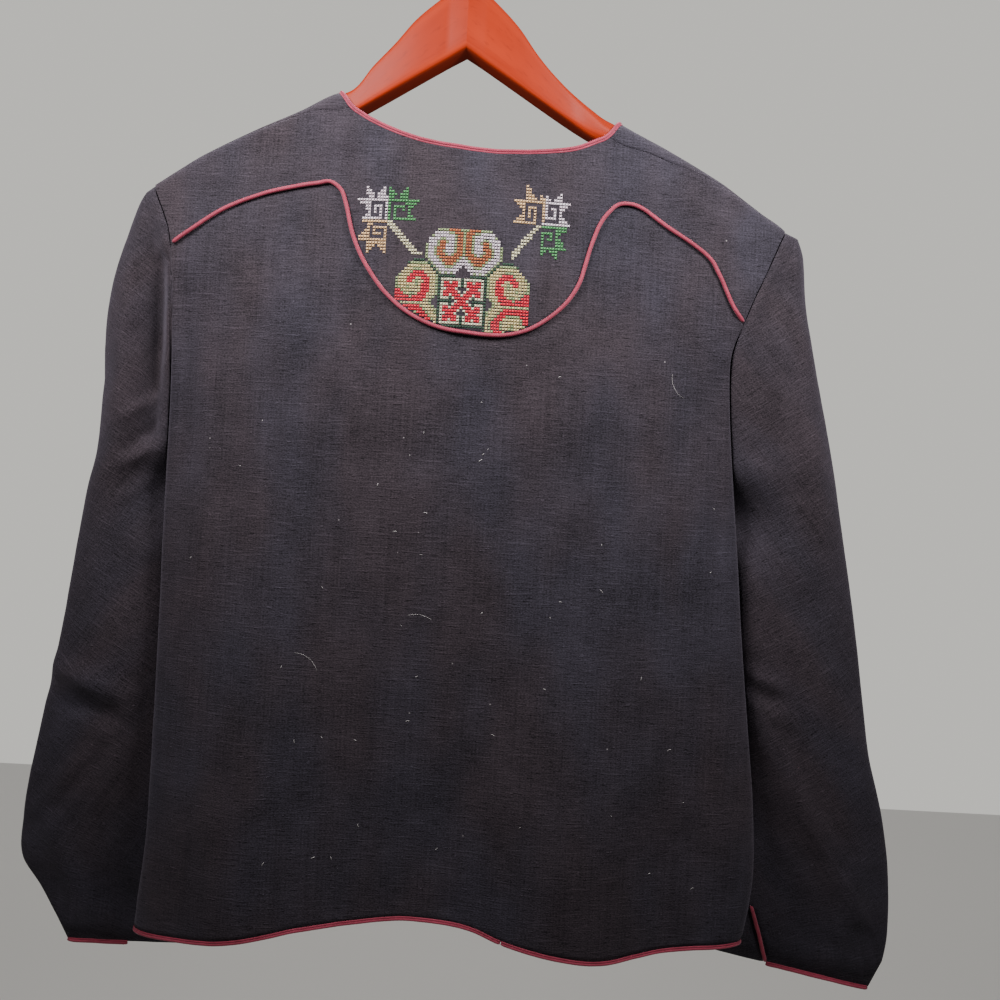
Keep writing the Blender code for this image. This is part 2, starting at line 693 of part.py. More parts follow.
def cut_back(route, trim):
    """Take a length off a route's start."""
    route = list(route)
    while (route[1] - route[0]).length <= trim:
        trim -= (route[1] - route[0]).length
        route.pop(0)
    route[0] = route[0] + (route[1] - route[0]).normalized() * trim
    return route


def shortened(route, start, end):
    """Take lengths off both ends of a route."""
    backwards = list(reversed(cut_back(route, start)))
    return list(reversed(cut_back(backwards, end)))


def pipe(name, route, radius, look, sides=1):
    curve = bpy.data.curves.new(name, "CURVE")
    curve.dimensions = "3D"
    curve.bevel_depth = radius * MM
    curve.bevel_resolution = sides
    curve.use_fill_caps = True
    curve.render_resolution_u = 0
    strand = curve.splines.new("POLY")
    strand.points.add(len(route) - 1)
    for point, place in zip(strand.points, route):
        point.co = (*(place * MM), 1.0)
    return add(name, curve, look)


def make_panels(cloth):
    away = lambda direction: (lambda place: Vector(direction))
    back = back_panel_grid()
    yoke = back_yoke_grid()
    left = front_grid(NECK_SIDE_LEFT, NECK_FRONT_LEFT, -1)
    right = front_grid(NECK_SIDE_RIGHT, NECK_FRONT_RIGHT, 1)
    wall("back_panel", back, away((0, -1, 0)), cloth, normal=cloth_normal)
    wall("back_yoke", yoke, away((0, -1, 0)), cloth, normal=cloth_normal)
    wall("front_left", left, away((0, 1, 0)), cloth, normal=cloth_normal)
    wall("front_right", right, away((0, 1, 0)), cloth, normal=cloth_normal)
    return back, yoke, left, right


def shoulder_tip(side):
    """Where the armhole seam crosses the ridge."""
    x, z = side * 235.0, -215.0
    for _ in range(20):
        z = ridge(x)
        x = side_x(z, side)
    return x, z


def make_sleeves(cloth):
    grids = []
    for name, table, side, cuff_z, rise in (
        ("sleeve_left", SLEEVE_LEFT, -1, -784, 3.0), ("sleeve_right", SLEEVE_RIGHT, 1, -789, 26.0),
    ):
        grid = sleeve_grid(table, side, shoulder_tip(side), cuff_z, rise)
        closed = min(i for i, row in enumerate(grid) if i and row[OUTER_COLUMN].z < UNDERARM_Z)
        vent = max(i for i, row in enumerate(grid) if row[VENT_COLUMN].z > VENT_ROW)

        def outward(place, grid=grid, side=side):
            row = min(grid, key=lambda r: abs(r[OUTER_COLUMN].z - place.z))
            heart = (row[0] + row[OUTER_COLUMN]) / 2
            return Vector((place.x - heart.x, place.y - heart.y, 0))

        wall(name, grid, outward, cloth, closed_from=closed, slit=(vent, VENT_COLUMN))
        grids.append((grid, vent))
    return grids


def make_piping(back, yoke, left, right, sleeves, red):
    lifted = []
    for j, point in enumerate(back[0]):
        seam = (point + yoke[-1][j]) / 2
        lifted.append(seam + cloth_normal(seam) * PIPE_LIFT)
    pipe("yoke_piping", shortened(thinned(lifted, 7.0), 6.0, 10.0), PIPE_RADIUS, red)

    shoulder = len(SHOULDER_SHARES) - 1
    down = len(NECK_SIDE_SHARES) - 1
    left_edge = [row[shoulder] for row in left[:down]] + left[down][shoulder:]
    left_next = [row[shoulder - 1] for row in left[:down]] + left[down + 1][shoulder:]
    right_edge = [row[shoulder] for row in right[:down]] + right[down][shoulder:]
    right_next = [row[shoulder - 1] for row in right[:down]] + right[down + 1][shoulder:]
    neck_edge = list(reversed(left_edge)) + yoke[0][shoulder:-shoulder] + right_edge
    neck_next = list(reversed(left_next)) + yoke[1][shoulder:-shoulder] + right_next
    neck_route = thinned(along_edge(neck_edge, neck_next), 5.0)
    pipe("neck_piping", shortened(neck_route, 0.8, 0.8), PIPE_RADIUS, red)

    join = min(range(len(back[-1])), key=lambda j: abs(back[-1][j].x - HEM_JOIN_X))
    left_edge = list(reversed(left[-1])) + back[-1][:join + 1]
    left_next = list(reversed(left[-2])) + back[-2][:join + 1]
    right_edge = back[-1][join:] + right[-1]
    right_next = back[-2][join:] + right[-2]
    left_route = thinned(along_edge(left_edge, left_next), 3.5)
    right_route = thinned(along_edge(right_edge, right_next), 3.5)
    pipe("hem_piping_left", shortened(left_route, SEAM_GAP, SEAM_GAP), PIPE_RADIUS, red)
    pipe("hem_piping_right", shortened(right_route, SEAM_GAP, SEAM_GAP), PIPE_RADIUS, red)

    for side, (grid, vent) in zip(("left", "right"), sleeves):
        cuff = along_edge(grid[-1][VENT_COLUMN:], grid[-2][VENT_COLUMN:])
        pipe("cuff_piping_" + side, thinned(cuff, 4.0), PIPE_RADIUS, red)
    grid, vent = sleeves[1]
    pipe("vent_piping_right", vent_route(grid, vent), PIPE_RADIUS, red)


def vent_route(grid, vent):
    """The cord on the upper edge of a cuff's vent, from its top to just above the cuff's cord."""
    route = []
    for row in grid[vent:]:
        point, before = row[VENT_COLUMN], row[VENT_COLUMN - 1]
        route.append(point + (before - point).normalized() * VENT_OVERLAP + Vector((0, -PIPE_LIFT, 0)))
    return shortened(route, SEAM_GAP, PIPE_RADIUS)


def make_hanger(wood, steel):
    mesh = bpy.data.meshes.new("hanger_body")
    shape = bmesh.new()
    rings = []
    stations = [-x for x in reversed(ARM_STATIONS[1:])] + list(ARM_STATIONS)
    for x in stations:
        top = read(ARMS, "x", "top", abs(x))
        if 96 <= abs(x) <= 198:
            top = ridge(x) - WALL - HANGER_CLEARANCE
        tall = read(ARMS, "x", "height", abs(x)) / 2
        thick = read(ARMS, "x", "half", abs(x))
        power = read(ARMS, "x", "power", abs(x))
        ring = []
        for k in range(HANGER_SIDES):
            angle = 2 * math.pi * k / HANGER_SIDES
            side, up = math.cos(angle), math.sin(angle)
            y = math.copysign(abs(side) ** (2 / power), side) * thick
            z = math.copysign(abs(up) ** (2 / power), up) * tall
            ring.append(shape.verts.new(Vector((x, arm_curve(x) + y, top - tall + z)) * MM))
        rings.append(ring)
    for first, second in zip(rings, rings[1:]):
        for k in range(HANGER_SIDES):
            after = (k + 1) % HANGER_SIDES
            shape.faces.new((first[k], first[after], second[after], second[k]))
    shape.faces.new(rings[0])
    shape.faces.new(rings[-1])
    bmesh.ops.recalc_face_normals(shape, faces=shape.faces)
    shape.to_mesh(mesh)
    shape.free()
    add("hanger_body", mesh, wood)

    centre = Vector((0, 0, HOOK_WIRE - HOOK_RADIUS))
    arc = [centre + Vector((math.cos(math.radians(a)), 0, math.sin(math.radians(a)))) * HOOK_RADIUS
           for a in range(-50, 196, 15)]
    shank = [Vector((x, 0, z)) for x, z in ((0, ARMS[0].top + SEAM_GAP), (0, -51), (2, -46.5), (7.5, -41.5))]
    pipe("hanger_hook", shank + arc, HOOK_WIRE, steel, sides=2)


def main():
    for startup in list(bpy.data.objects):
        bpy.data.objects.remove(startup)
    cloth = material("handwoven_cloth", CLOTH_COLOUR, 0.9, 0.0)
    red = material("piping", PIPING_COLOUR, 0.7, 0.0)
    wood = material("varnished_wood", WOOD_COLOUR, 0.3, 0.0)
    steel = material("hook_steel", STEEL_COLOUR, 0.3, 1.0)
    back, yoke, left, right = make_panels(cloth)
    sleeves = make_sleeves(cloth)
    make_piping(back, yoke, left, right, sleeves, red)
    make_hanger(wood, steel)


main()
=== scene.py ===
"""Looks of an embroidered handwoven jacket on a wooden hanger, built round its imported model.

The tables are in millimetres, +Z up; MM turns them to metres. The origin is the seat inside the
top of the hanger's hook. +Y is the way the wearer faces and +X the wearer's right, so the jacket
is seen from its back when looked at along +Y.
"""
import bisect
import math
import random
from collections import namedtuple

import bmesh
import bpy
from mathutils import Matrix, Vector, noise


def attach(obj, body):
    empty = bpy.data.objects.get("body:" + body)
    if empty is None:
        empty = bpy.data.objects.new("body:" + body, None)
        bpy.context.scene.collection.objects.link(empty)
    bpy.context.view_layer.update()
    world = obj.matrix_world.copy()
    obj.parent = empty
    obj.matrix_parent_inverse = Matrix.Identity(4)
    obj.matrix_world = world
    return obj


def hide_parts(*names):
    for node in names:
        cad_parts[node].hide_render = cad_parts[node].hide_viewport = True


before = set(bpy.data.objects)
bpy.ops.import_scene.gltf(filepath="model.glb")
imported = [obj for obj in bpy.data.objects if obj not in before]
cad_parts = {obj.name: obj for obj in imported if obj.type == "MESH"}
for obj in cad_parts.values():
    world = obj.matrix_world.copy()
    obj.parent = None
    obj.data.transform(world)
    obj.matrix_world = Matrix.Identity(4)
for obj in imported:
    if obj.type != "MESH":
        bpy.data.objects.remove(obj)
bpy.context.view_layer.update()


MM = 0.001

# Driving dimensions
WALL = 1.6                  # cloth with its seam allowances pressed flat
SEAM_GAP = 0.3
ARMHOLE_GAP = 0.8           # across the armhole seam, which slants
PIPE_RADIUS = 1.5
ARM_FORWARD = 22.0          # how far the hanger's arms come forward at ARM_REACH
ARM_REACH = 230.0
RIDGE_RADIUS = 13.0         # the shoulder's fold over the hanger's arm, outside
BODY_HALF_DEPTH = 32.0
LOOSEN = 140.0              # drop over which the back falls away from the hanger
SIDE_POWER = 3.0            # how square the folded sides are
UNDERARM_Z = -400.0
ARMHOLE_TOP_Z = -250.0      # where the side starts to fold shut below the shoulder
SIDE_HALF_GAP = 0.22
CLEARANCE = 3.5             # sleeve to front panel
CORNER_HUB = 26.0           # inside the side's fold, the point it is rounded about
HANGER_CLEARANCE = 1.2      # under the cloth on the arms
HOOK_WIRE = 2.0
HOOK_RADIUS = 22.0          # to the middle of the wire
PIPE_LIFT = PIPE_RADIUS + SEAM_GAP + 0.2    # a cord's middle above the cloth it is sewn to
TUCK_ASIDE, TUCK_UNDER = 1.6, 1.2           # the under side of a cuff's vent
VENT_OVERLAP = 0.8          # how far the vent's cord reaches past its edge
HEAD_ROOM = 6.0             # from the shoulder's tip down to the sleeve's first ring
FRONT_HEM_Z = -746.0        # the front's hem at the middle; at the sides it meets the back's
FRONT_HEM_TURN = 0.6        # the share of the half width where it starts to follow the back's
HEM_HALF_WIDTH = 225.0
SHOULDER_X = 235.0          # about where the shoulders end
FIRST_X = 220.0             # a first guess at how far out a panel's edge lies, bettered in rounds
HEM_JOIN_X = 60.0           # where the two lengths of hem piping meet

# The eye from which the outlines were read, square to the jacket's back
EYE_X, EYE_Y, EYE_Z = 41.8, -800.0, -436.0

CLOSE_SHARES = 0.01
Place = namedtuple("Place", "x over")
Chart = namedtuple("Chart", "column row lines")


def rows(columns, *lines):
    """A table's lines, with a name for each column."""
    row = namedtuple("row", columns)
    return tuple(row(*line) for line in lines)


def mix(a, b, t):
    return a + (b - a) * t


def ease(t):
    t = min(max(t, 0.0), 1.0)
    return t * t * (3 - 2 * t)


def finer(shares, parts):
    """The same shares with more between them, but none between two that are already close."""
    found = []
    for a, b in zip(shares, shares[1:]):
        steps = 1 if b - a < CLOSE_SHARES else parts
        found += [mix(a, b, k / steps) for k in range(steps)]
    return found + [shares[-1]]


def close_rows(heights, step):
    """The same heights down a sleeve with more between them, no further apart than the step."""
    found = []
    for a, b in zip(heights, heights[1:]):
        steps = math.ceil((a - b) / step)
        found += [mix(a, b, k / steps) for k in range(steps)]
    return tuple(found) + (heights[-1],)


# The jacket's top line over the hanger, the same on both sides
RIDGE = rows("x z",
    (0, -132), (60, -134), (95, -140), (121, -153), (156, -168.5), (195, -188), (211, -198), (228, -209),
    (247, -221), (263, -242))

# Armhole seams, then the folded sides
SIDES = rows("z left right",
    (-205, -233, 258), (-221, -226, 247), (-243, -216, 237), (-259, -212, 230.5), (-276, -210.5, 223),
    (-295, -209, 216), (-317, -209, 209), (-337, -209, 208.5), (-396, -210, 214.5), (-471, -209.5, 222.5),
    (-532, -208.5, 228.5), (-592, -208, 235.5), (-652, -208, 242.5), (-705, -209, 245.5), (-738, -212, 242),
    (-762, -214, 237))

# Yoke seam, read in the plane y = YOKE_READ_AT: left shoulder, curve under the neck, right shoulder
YOKE_READ_AT = -25.0
YOKE_LEFT = rows("x z", (-206, -266), (-190, -254), (-166, -238), (-138, -226), (-112, -219), (-91, -215))
YOKE_CURVE = rows("x z",
    (-91, -215), (-82, -222), (-77, -238), (-72, -255), (-62, -274), (-47, -293), (-30, -306), (-8, -315),
    (16, -318), (40, -318), (60, -311), (79, -296), (90, -279), (96, -256), (104, -233), (115, -221))
YOKE_RIGHT = rows("x z",
    (115, -221), (129, -221), (150, -234), (182, -254), (193, -269), (203, -287), (214, -302))

# Neck edge at the back, read in the plane y = NECK_READ_AT, from one shoulder seam to the other
NECK_READ_AT = -12.0
NECK_BACK = rows("x z",
    (-82, -156), (-66, -165), (-45, -173), (-20, -179), (20, -183), (55, -182), (84, -178), (108, -168))

# Shoulder seams, how much cloth they lie behind the ridge, from armhole to neck
SHOULDER_LEFT = rows("x over", (-230, 6), (-160, 9), (-126, 13), (-104, 18), (-83, 23))
SHOULDER_RIGHT = rows("x over", (246, 6), (205, 10), (175, 15), (156, 19), (130, 22), (109, 25))

# Neck edge beside and before the neck: cloth length over the ridge, minus in front of it
NECK_SIDE_LEFT = rows("x over", (-91, 10), (-95, -5), (-95, -28), (-91, -50))
NECK_SIDE_RIGHT = rows("x over", (116, 10), (120, -5), (119, -28), (115, -50))
NECK_FRONT_LEFT = rows("x over", (-91, -50), (-80, -77), (-58, -103), (-25, -122), (11.6, -130))
NECK_FRONT_RIGHT = rows("x over", (115, -50), (104, -77), (82, -103), (49, -122), (12.4, -130))

# The hem's height along the back, and the flutes that the cloth falls in
HEM = rows("x z",
    (-214, -767), (-193, -766), (-163, -763), (-139, -760), (-109, -754), (-85, -749), (-20, -741),
    (13, -741), (36, -743), (57, -749), (92, -756), (129, -762), (157, -760), (180, -757), (200, -755),
    (227, -754), (240, -754))
BACK_FLUTES = rows("x width out top",
    (-139, 48, 13, -420), (-5, 62, -12, -430), (92, 50, 11, -450), (178, 34, -10, -540))
FRONT_FLUTES = rows("x width out top",
    (-110, 45, -9, -450), (-30, 40, 8, -470), (70, 45, 10, -440), (150, 40, -8, -500))

# Sleeves, outlines read in the plane y = SLEEVE_READ_AT. crease and bulge are shares of the width
SLEEVE_READ_AT = 20.0
SLEEVE_LEFT = rows("z outer outer_y back front inner crease bulge",
    (-215, -236, 21, 15, 28, -200, .46, .76), (-225, -240, 22, 12, 32, -200, .45, .75),
    (-250, -245, 22, 10, 38, -200, .40, .72), (-300, -255, 22, 6, 44, -200, .34, .68),
    (-361, -262, 22, 5, 48, -200, .30, .68), (-414, -265, 23, 7, 52, -200, .30, .70),
    (-445, -271, 24, 8, 56, -182, .36, .74), (-498, -278, 25, 9, 60, -165, .38, .76),
    (-560, -286, 26, 9, 61, -154, .40, .76), (-613, -295, 28, 11, 62, -150, .42, .76),
    (-667, -304, 31, 15, 63, -152, .46, .77), (-697, -307, 33, 21, 64, -154, .50, .78),
    (-724, -305, 35, 27, 64, -156, .53, .80), (-746, -290, 37, 32, 64, -152, .56, .81),
    (-768, -277, 38, 34, 64, -148, .60, .82), (-784, -268, 39, 35, 64, -146, .63, .83))
SLEEVE_RIGHT = rows("z outer outer_y back front inner crease bulge",
    (-225, 259, 22, 17, 28, 205, .46, .76), (-244, 262, 24, 12, 34, 205, .44, .74),
    (-280, 266, 24, 6, 42, 205, .36, .70), (-310, 272, 24, 3, 46, 205, .32, .68),
    (-348, 281, 24, 2, 48, 205, .30, .68), (-400, 293, 24, 4, 52, 205, .32, .70),
    (-438, 300, 25, 5, 56, 188, .34, .74), (-505, 313, 26, 7, 60, 172, .36, .76),
    (-566, 323, 28, 9, 61, 168, .36, .76), (-615, 331, 30, 12, 62, 170, .34, .76),
    (-659, 343, 32, 15, 63, 178, .32, .76), (-701, 350, 34, 19, 64, 190, .30, .76),
    (-746, 352, 36, 26, 64, 200, .32, .78), (-773, 348, 38, 32, 64, 205, .37, .80),
    (-790, 339, 39, 34, 64, 210, .41, .82))
SLEEVE_ROW_STEP = 3.6
SLEEVE_ROWS = close_rows((
    -214, -219, -225, -233, -244, -258, -276, -296, -317, -337, -360, -382, -400, -409, -420, -434, -455,
    -485, -525, -570, -612, -645, -674, -697, -719, -738, -754, -770,
), SLEEVE_ROW_STEP)
SLEEVE_SAMPLES = 10         # spline samples from one of a row's nine points to the next
VENT_COLUMN = 2 * SLEEVE_SAMPLES
OUTER_COLUMN = 4 * SLEEVE_SAMPLES
VENT_ROW = -738

# Hanger body from its middle out, half its thickness and how square its section is. The right arm's
# top has a table of its own, and beyond the neck both tops follow the cloth's ridge.
ARMS = rows("x top height half power",
    (0, -61, 47, 11.5, 3.0), (10, -64, 45.5, 11.5, 3.0), (21, -72, 42, 11.5, 3.0),
    (38, -87, 36.5, 11.5, 3.0), (52, -104, 32, 11.3, 2.8), (64, -117, 29, 11, 2.6),
    (79, -133, 24, 10.5, 2.3), (88, -140.5, 22, 9.8, 2.1), (95, -144.5, 20.5, 9.6, 2.0),
    (150, -168, 19.5, 9.6, 2.0), (198, -193.4, 18, 9.3, 2.0), (206, -200, 13, 8, 2.0),
    (210, -204, 9, 6, 2.0), (212, -207, 4, 3, 2.0))

# Shares of a panel's width, from the armhole inward, and of its length, where its points lie
SHOULDER_SHARES = finer((0, 0.004, 0.05, 0.12, 0.21, 0.32, 0.44, 0.57, 0.71, 0.86, 1), 4)
CURVE_SHARES = finer([k / 20 for k in range(21)], 3)
BACK_SHARES = finer((0, 0.03, 0.07, 0.13, 0.2, 0.28, 0.37, 0.46, 0.56, 0.66, 0.75, 0.84, 0.92, 1), 9)
YOKE_SHARES = finer((0, 0.08, 0.2, 0.36, 0.54, 0.76, 1), 7)
NECK_SIDE_SHARES = finer((0, 0.1, 0.19, 0.28, 0.37, 0.46, 0.56, 0.77, 1), 3)
FRONT_SHARES = finer((0, 0.04, 0.08, 0.12, 0.17, 0.23, 0.31, 0.41, 0.53, 0.68, 0.84, 1), 9)
FRONT_NECK_SHARES = finer([k / 9 for k in range(10)], 3)
EDGE_ACROSS = 0.5           # the share of the half width where the shoulder columns end at the hem
CENTRE_HALF_GAP = 0.4

CURVES = {}


def read(table, key, value, at):
    """A smooth curve through one column of a table, by another that rises or falls throughout."""
    if (id(table), key, value) not in CURVES:
        ordered = sorted(table, key=lambda row: getattr(row, key))
        keys = [getattr(row, key) for row in ordered]
        values = [getattr(row, value) for row in ordered]
        slopes = []
        for k in range(len(keys)):
            low, high = max(k - 1, 0), min(k + 1, len(keys) - 1)
            slopes.append((values[high] - values[low]) / (keys[high] - keys[low]))
        CURVES[id(table), key, value] = (table, keys, values, slopes)
    _, keys, values, slopes = CURVES[id(table), key, value]
    if at <= keys[0]:
        return values[0]
    if at >= keys[-1]:
        return values[-1]
    i = bisect.bisect_right(keys, at) - 1
    span = keys[i + 1] - keys[i]
    t = (at - keys[i]) / span
    start = (2 * t ** 3 - 3 * t ** 2 + 1) * values[i] + (t ** 3 - 2 * t ** 2 + t) * span * slopes[i]
    end = (3 * t ** 2 - 2 * t ** 3) * values[i + 1] + (t ** 3 - t ** 2) * span * slopes[i + 1]
    return start + end


def ridge(x):
    return read(RIDGE, "x", "z", abs(x))


def arm_curve(x):
    return ARM_FORWARD * (abs(x) / ARM_REACH) ** 1.2


def middle_y(x, z):
    """The jacket's middle plane: forward with the hanger's arms, less so lower down."""
    return arm_curve(x) * mix(1.0, 0.55, ease((-250 - z) / 450))


def half_depth(drop):
    if drop < RIDGE_RADIUS:
        return math.sqrt(max(2 * RIDGE_RADIUS * drop - drop * drop, 0.0))
    return RIDGE_RADIUS + (BODY_HALF_DEPTH - RIDGE_RADIUS) * (1 - math.exp((RIDGE_RADIUS - drop) / LOOSEN))


def drop_over(over):
    """How far below the ridge a point lies that is this length of cloth away from it."""
    quarter = RIDGE_RADIUS * math.pi / 2
    if abs(over) < quarter:
        return RIDGE_RADIUS * (1 - math.cos(over / RIDGE_RADIUS))
    return RIDGE_RADIUS + abs(over) - quarter


def over_for(drop):
    if drop < RIDGE_RADIUS:
        return RIDGE_RADIUS * math.acos(1 - drop / RIDGE_RADIUS)
    return RIDGE_RADIUS * math.pi / 2 + drop - RIDGE_RADIUS


def edges(z):
    """The body's left and right edges at a height."""
    return read(SIDES, "z", "left", z), read(SIDES, "z", "right", z)


def side_x(z, across):
    return mix(*edges(z), (across + 1) / 2)


def across_of(x, z):
    left, right = edges(z)
    return 2 * (x - left) / (right - left) - 1


def flutes(x, z, table):
    total = 0.0
    for flute in table:
        grown = ease((flute.top - z) / 300)
        total += flute.out * grown * math.exp(-((x - flute.x) / flute.width) ** 2)
    return total


def closing(z):
    return ease((ARMHOLE_TOP_Z - z) / (ARMHOLE_TOP_Z - UNDERARM_Z))


def face_y(x, z, face):
    """The outer surface of the back (face -1) or the front (face +1) at a place seen square on."""
    across = min(abs(across_of(x, z)), 1.0)
    fold = (1 - across ** SIDE_POWER) ** (1 / SIDE_POWER)
    round_off = 1 - closing(z) * (1 - fold)
    out = half_depth(ridge(x) - z) + flutes(x, z, BACK_FLUTES if face < 0 else FRONT_FLUTES)
    return middle_y(x, z) + face * (out * round_off + SIDE_HALF_GAP * closing(z))


def wrapped_point(across, over):
    """A point of the jacket by its cloth length over the shoulder, plus at the back."""
    x = across * FIRST_X
    for _ in range(12):
        z = ridge(x) - drop_over(over)
        x = side_x(z, across)
    return Vector((x, face_y(x, z, -1 if over > 0 else 1), z))


def sighted(seam, read_at, face):
    """Slide a point read in a plane along its sight line onto the cloth."""
    y = read_at
    for _ in range(8):
        k = (y - EYE_Y) / (read_at - EYE_Y)
        x = EYE_X + (seam.x - EYE_X) * k
        z = EYE_Z + (seam.z - EYE_Z) * k
        y = face_y(x, z, face)
    return x, z


def spline(points, t):
    """Catmull-Rom through the points; t counts them."""
    i = min(int(t), len(points) - 2)
    u = t - i
    p1, p2 = points[i], points[i + 1]
    p0 = points[i - 1] if i > 0 else 2 * p1 - p2
    p3 = points[i + 2] if i + 2 < len(points) else 2 * p2 - p1
    return 0.5 * (2 * p1 + (p2 - p0) * u + (2 * p0 - 5 * p1 + 4 * p2 - p3) * u * u
                  + (3 * p1 - p0 - 3 * p2 + p3) * u ** 3)


def lengths_along(points):
    """How far along a path each of its points lies."""
    lengths = [0.0]
    for a, b in zip(points, points[1:]):
        lengths.append(lengths[-1] + (b - a).length)
    return lengths


def spaced(points, shares):
    """Points at shares of a smooth curve's length."""
    fine = [spline(points, k * (len(points) - 1) / 200) for k in range(201)]
    lengths = lengths_along(fine)
    found = []
    for share in shares:
        target = share * lengths[-1]
        k = max(i for i in range(200) if lengths[i] <= target + 1e-9)
        t = (target - lengths[k]) / max(lengths[k + 1] - lengths[k], 1e-9)
        found.append(fine[k].lerp(fine[k + 1], min(t, 1.0)))
    return found


def sidestep(path, distance):
    """Move a flat path sideways: plus is to its right when it runs toward +X."""
    moved = []
    for i, point in enumerate(path):
        along = (path[min(i + 1, len(path) - 1)] - path[max(i - 1, 0)]).normalized()
        moved.append(point + Vector((along.y, -along.x)) * distance)
    return moved


def fold_across():
    """Columns at the hem from a side's fold inward, close together where it folds."""
    inner = math.degrees(math.asin(EDGE_ACROSS ** (SIDE_POWER / 2)))
    return [math.sin(math.radians(mix(90, inner, f))) ** (2 / SIDE_POWER) for f in SHOULDER_SHARES]


def hem_across():
    """Columns at the back's hem, from the left side's fold to the right's."""
    turned = fold_across()
    middle = [mix(-EDGE_ACROSS, EDGE_ACROSS, f) for f in CURVE_SHARES]
    return [-t for t in turned] + middle[1:-1] + list(reversed(turned))


def front_hem_across():
    """Columns at a front's hem, from the side's fold to the centre."""
    middle = [mix(EDGE_ACROSS, CENTRE_HALF_GAP / HEM_HALF_WIDTH, f) for f in FRONT_NECK_SHARES]
    return fold_across() + middle[1:]


def seen_path(table, read_at, shares):
    """A curve of the table's points laid on the back, seen square on."""
    return spaced([Vector(sighted(seam, read_at, -1)) for seam in table], shares)


def yoke_seam():
    """The yoke seam from armhole to armhole, seen square on."""
    left = seen_path(YOKE_LEFT, YOKE_READ_AT, SHOULDER_SHARES)
    curve = seen_path(YOKE_CURVE, YOKE_READ_AT, CURVE_SHARES)
    right = seen_path(YOKE_RIGHT, YOKE_READ_AT, [1 - f for f in reversed(SHOULDER_SHARES)])
    return left + curve[1:-1] + right


def neck_back():
    return seen_path(NECK_BACK, NECK_READ_AT, CURVE_SHARES)


def shoulder_seam(side, offset):
    """The shoulder seam from armhole to neck as (x, cloth length behind the ridge)."""
    table = SHOULDER_LEFT if side < 0 else SHOULDER_RIGHT
    corner = neck_back()[0 if side < 0 else -1]
    corner_across = across_of(corner.x, corner.y)
    corner_over = over_for(ridge(corner.x) - corner.y)
    seam = []
    for share in SHOULDER_SHARES:
        across = mix(side, corner_across, share)
        x = side_x(corner.y, across)
        for _ in range(8):
            over = mix(read(table, "x", "over", x), corner_over, ease((share - 0.8) / 0.2)) + offset
            x = side_x(ridge(x) - drop_over(over), across)
        seam.append(Vector((x, over)))
    return seam


def acrosses(path):
    """Each point's share across the back, stretched so that the path ends at the armholes."""
    plain = [across_of(p.x, p.y) for p in path]
    return [2 * (a - plain[0]) / (plain[-1] - plain[0]) - 1 for a in plain]


def back_grid(top, bottom, shares):
    """Rows of points between two paths seen square on, laid on the back."""
    grid = []
    for share in shares:
        row = []
        for a, b, across_a, across_b in zip(top, bottom, acrosses(top), acrosses(bottom)):
            across, z = mix(across_a, across_b, share), mix(a.y, b.y, share)
            x = mix(mix(a.x, b.x, share), side_x(z, across), across ** 4)
            row.append(Vector((x, face_y(x, z, -1), z)))
        grid.append(row)
    return grid


def hem_line():
    path = []
    for across in hem_across():
        z = -750.0
        for _ in range(4):
            z = read(HEM, "x", "z", side_x(z, across))
        path.append(Vector((side_x(z, across), z)))
    return path


def back_panel_grid():
    return back_grid(sidestep(yoke_seam(), SEAM_GAP / 2), hem_line(), BACK_SHARES)


def back_yoke_grid():
    seam = sidestep(yoke_seam(), -SEAM_GAP / 2)
    left, right = (
        [Vector((p.x, ridge(p.x) - drop_over(p.y))) for p in shoulder_seam(side, SEAM_GAP * 0.8)]
        for side in (-1, 1)
    )
    return back_grid(left + neck_back()[1:-1] + right[::-1], seam, YOKE_SHARES)


def front_grid(neck_side, neck_front, side):
    """A front, from its shoulder seam over the ridge and down; side is -1 left or +1 right.

    The upper rows end at the side of the neck, the lower ones run on to the centre.
    """
    seam = shoulder_seam(side, -SEAM_GAP * 0.8)
    corner = Place(seam[-1].x, seam[-1].y)
    neck_side = (corner,) + neck_side
    block_end = neck_side[-1].over
    neck_curve = spaced([Vector((n.x, n.over)) for n in neck_front], FRONT_NECK_SHARES)
    hems = [side * across for across in front_hem_across()]
    grid = []
    for share in NECK_SIDE_SHARES:
        row = []
        for place, shoulder_share in zip(seam, SHOULDER_SHARES):
            over = mix(place.y, block_end, share)
            neck_over = mix(corner.over, block_end, share)
            x = read(neck_side, "over", "x", neck_over)
            neck_across = side * across_of(x, ridge(x) - drop_over(neck_over))
            row.append(wrapped_point(side * mix(1.0, neck_across, shoulder_share), over))
        grid.append(row + [None] * (len(neck_curve) - 1))
    tops = [(abs(across_of(p.x, p.z)) if j else 1.0, block_end) for j, p in enumerate(grid[-1][:len(seam)])]
    for place in neck_curve[1:]:
        tops.append((side * across_of(place.x, ridge(place.x) - drop_over(place.y)), place.y))
    for share in FRONT_SHARES:
        row = []
        for (across, over), hem in zip(tops, hems):
            x_hem = side_x(FRONT_HEM_Z, hem)
            turned = ease((abs(hem) - FRONT_HEM_TURN) / (1 - FRONT_HEM_TURN))
            z_hem = mix(FRONT_HEM_Z, read(HEM, "x", "z", x_hem), turned)
            over_hem = -over_for(ridge(x_hem) - z_hem)
            row.append(wrapped_point(mix(side * across, hem, share), mix(over, over_hem, share)))
        if share == 0:
            grid[-1] = row
        else:
            grid.append(row)
    return grid


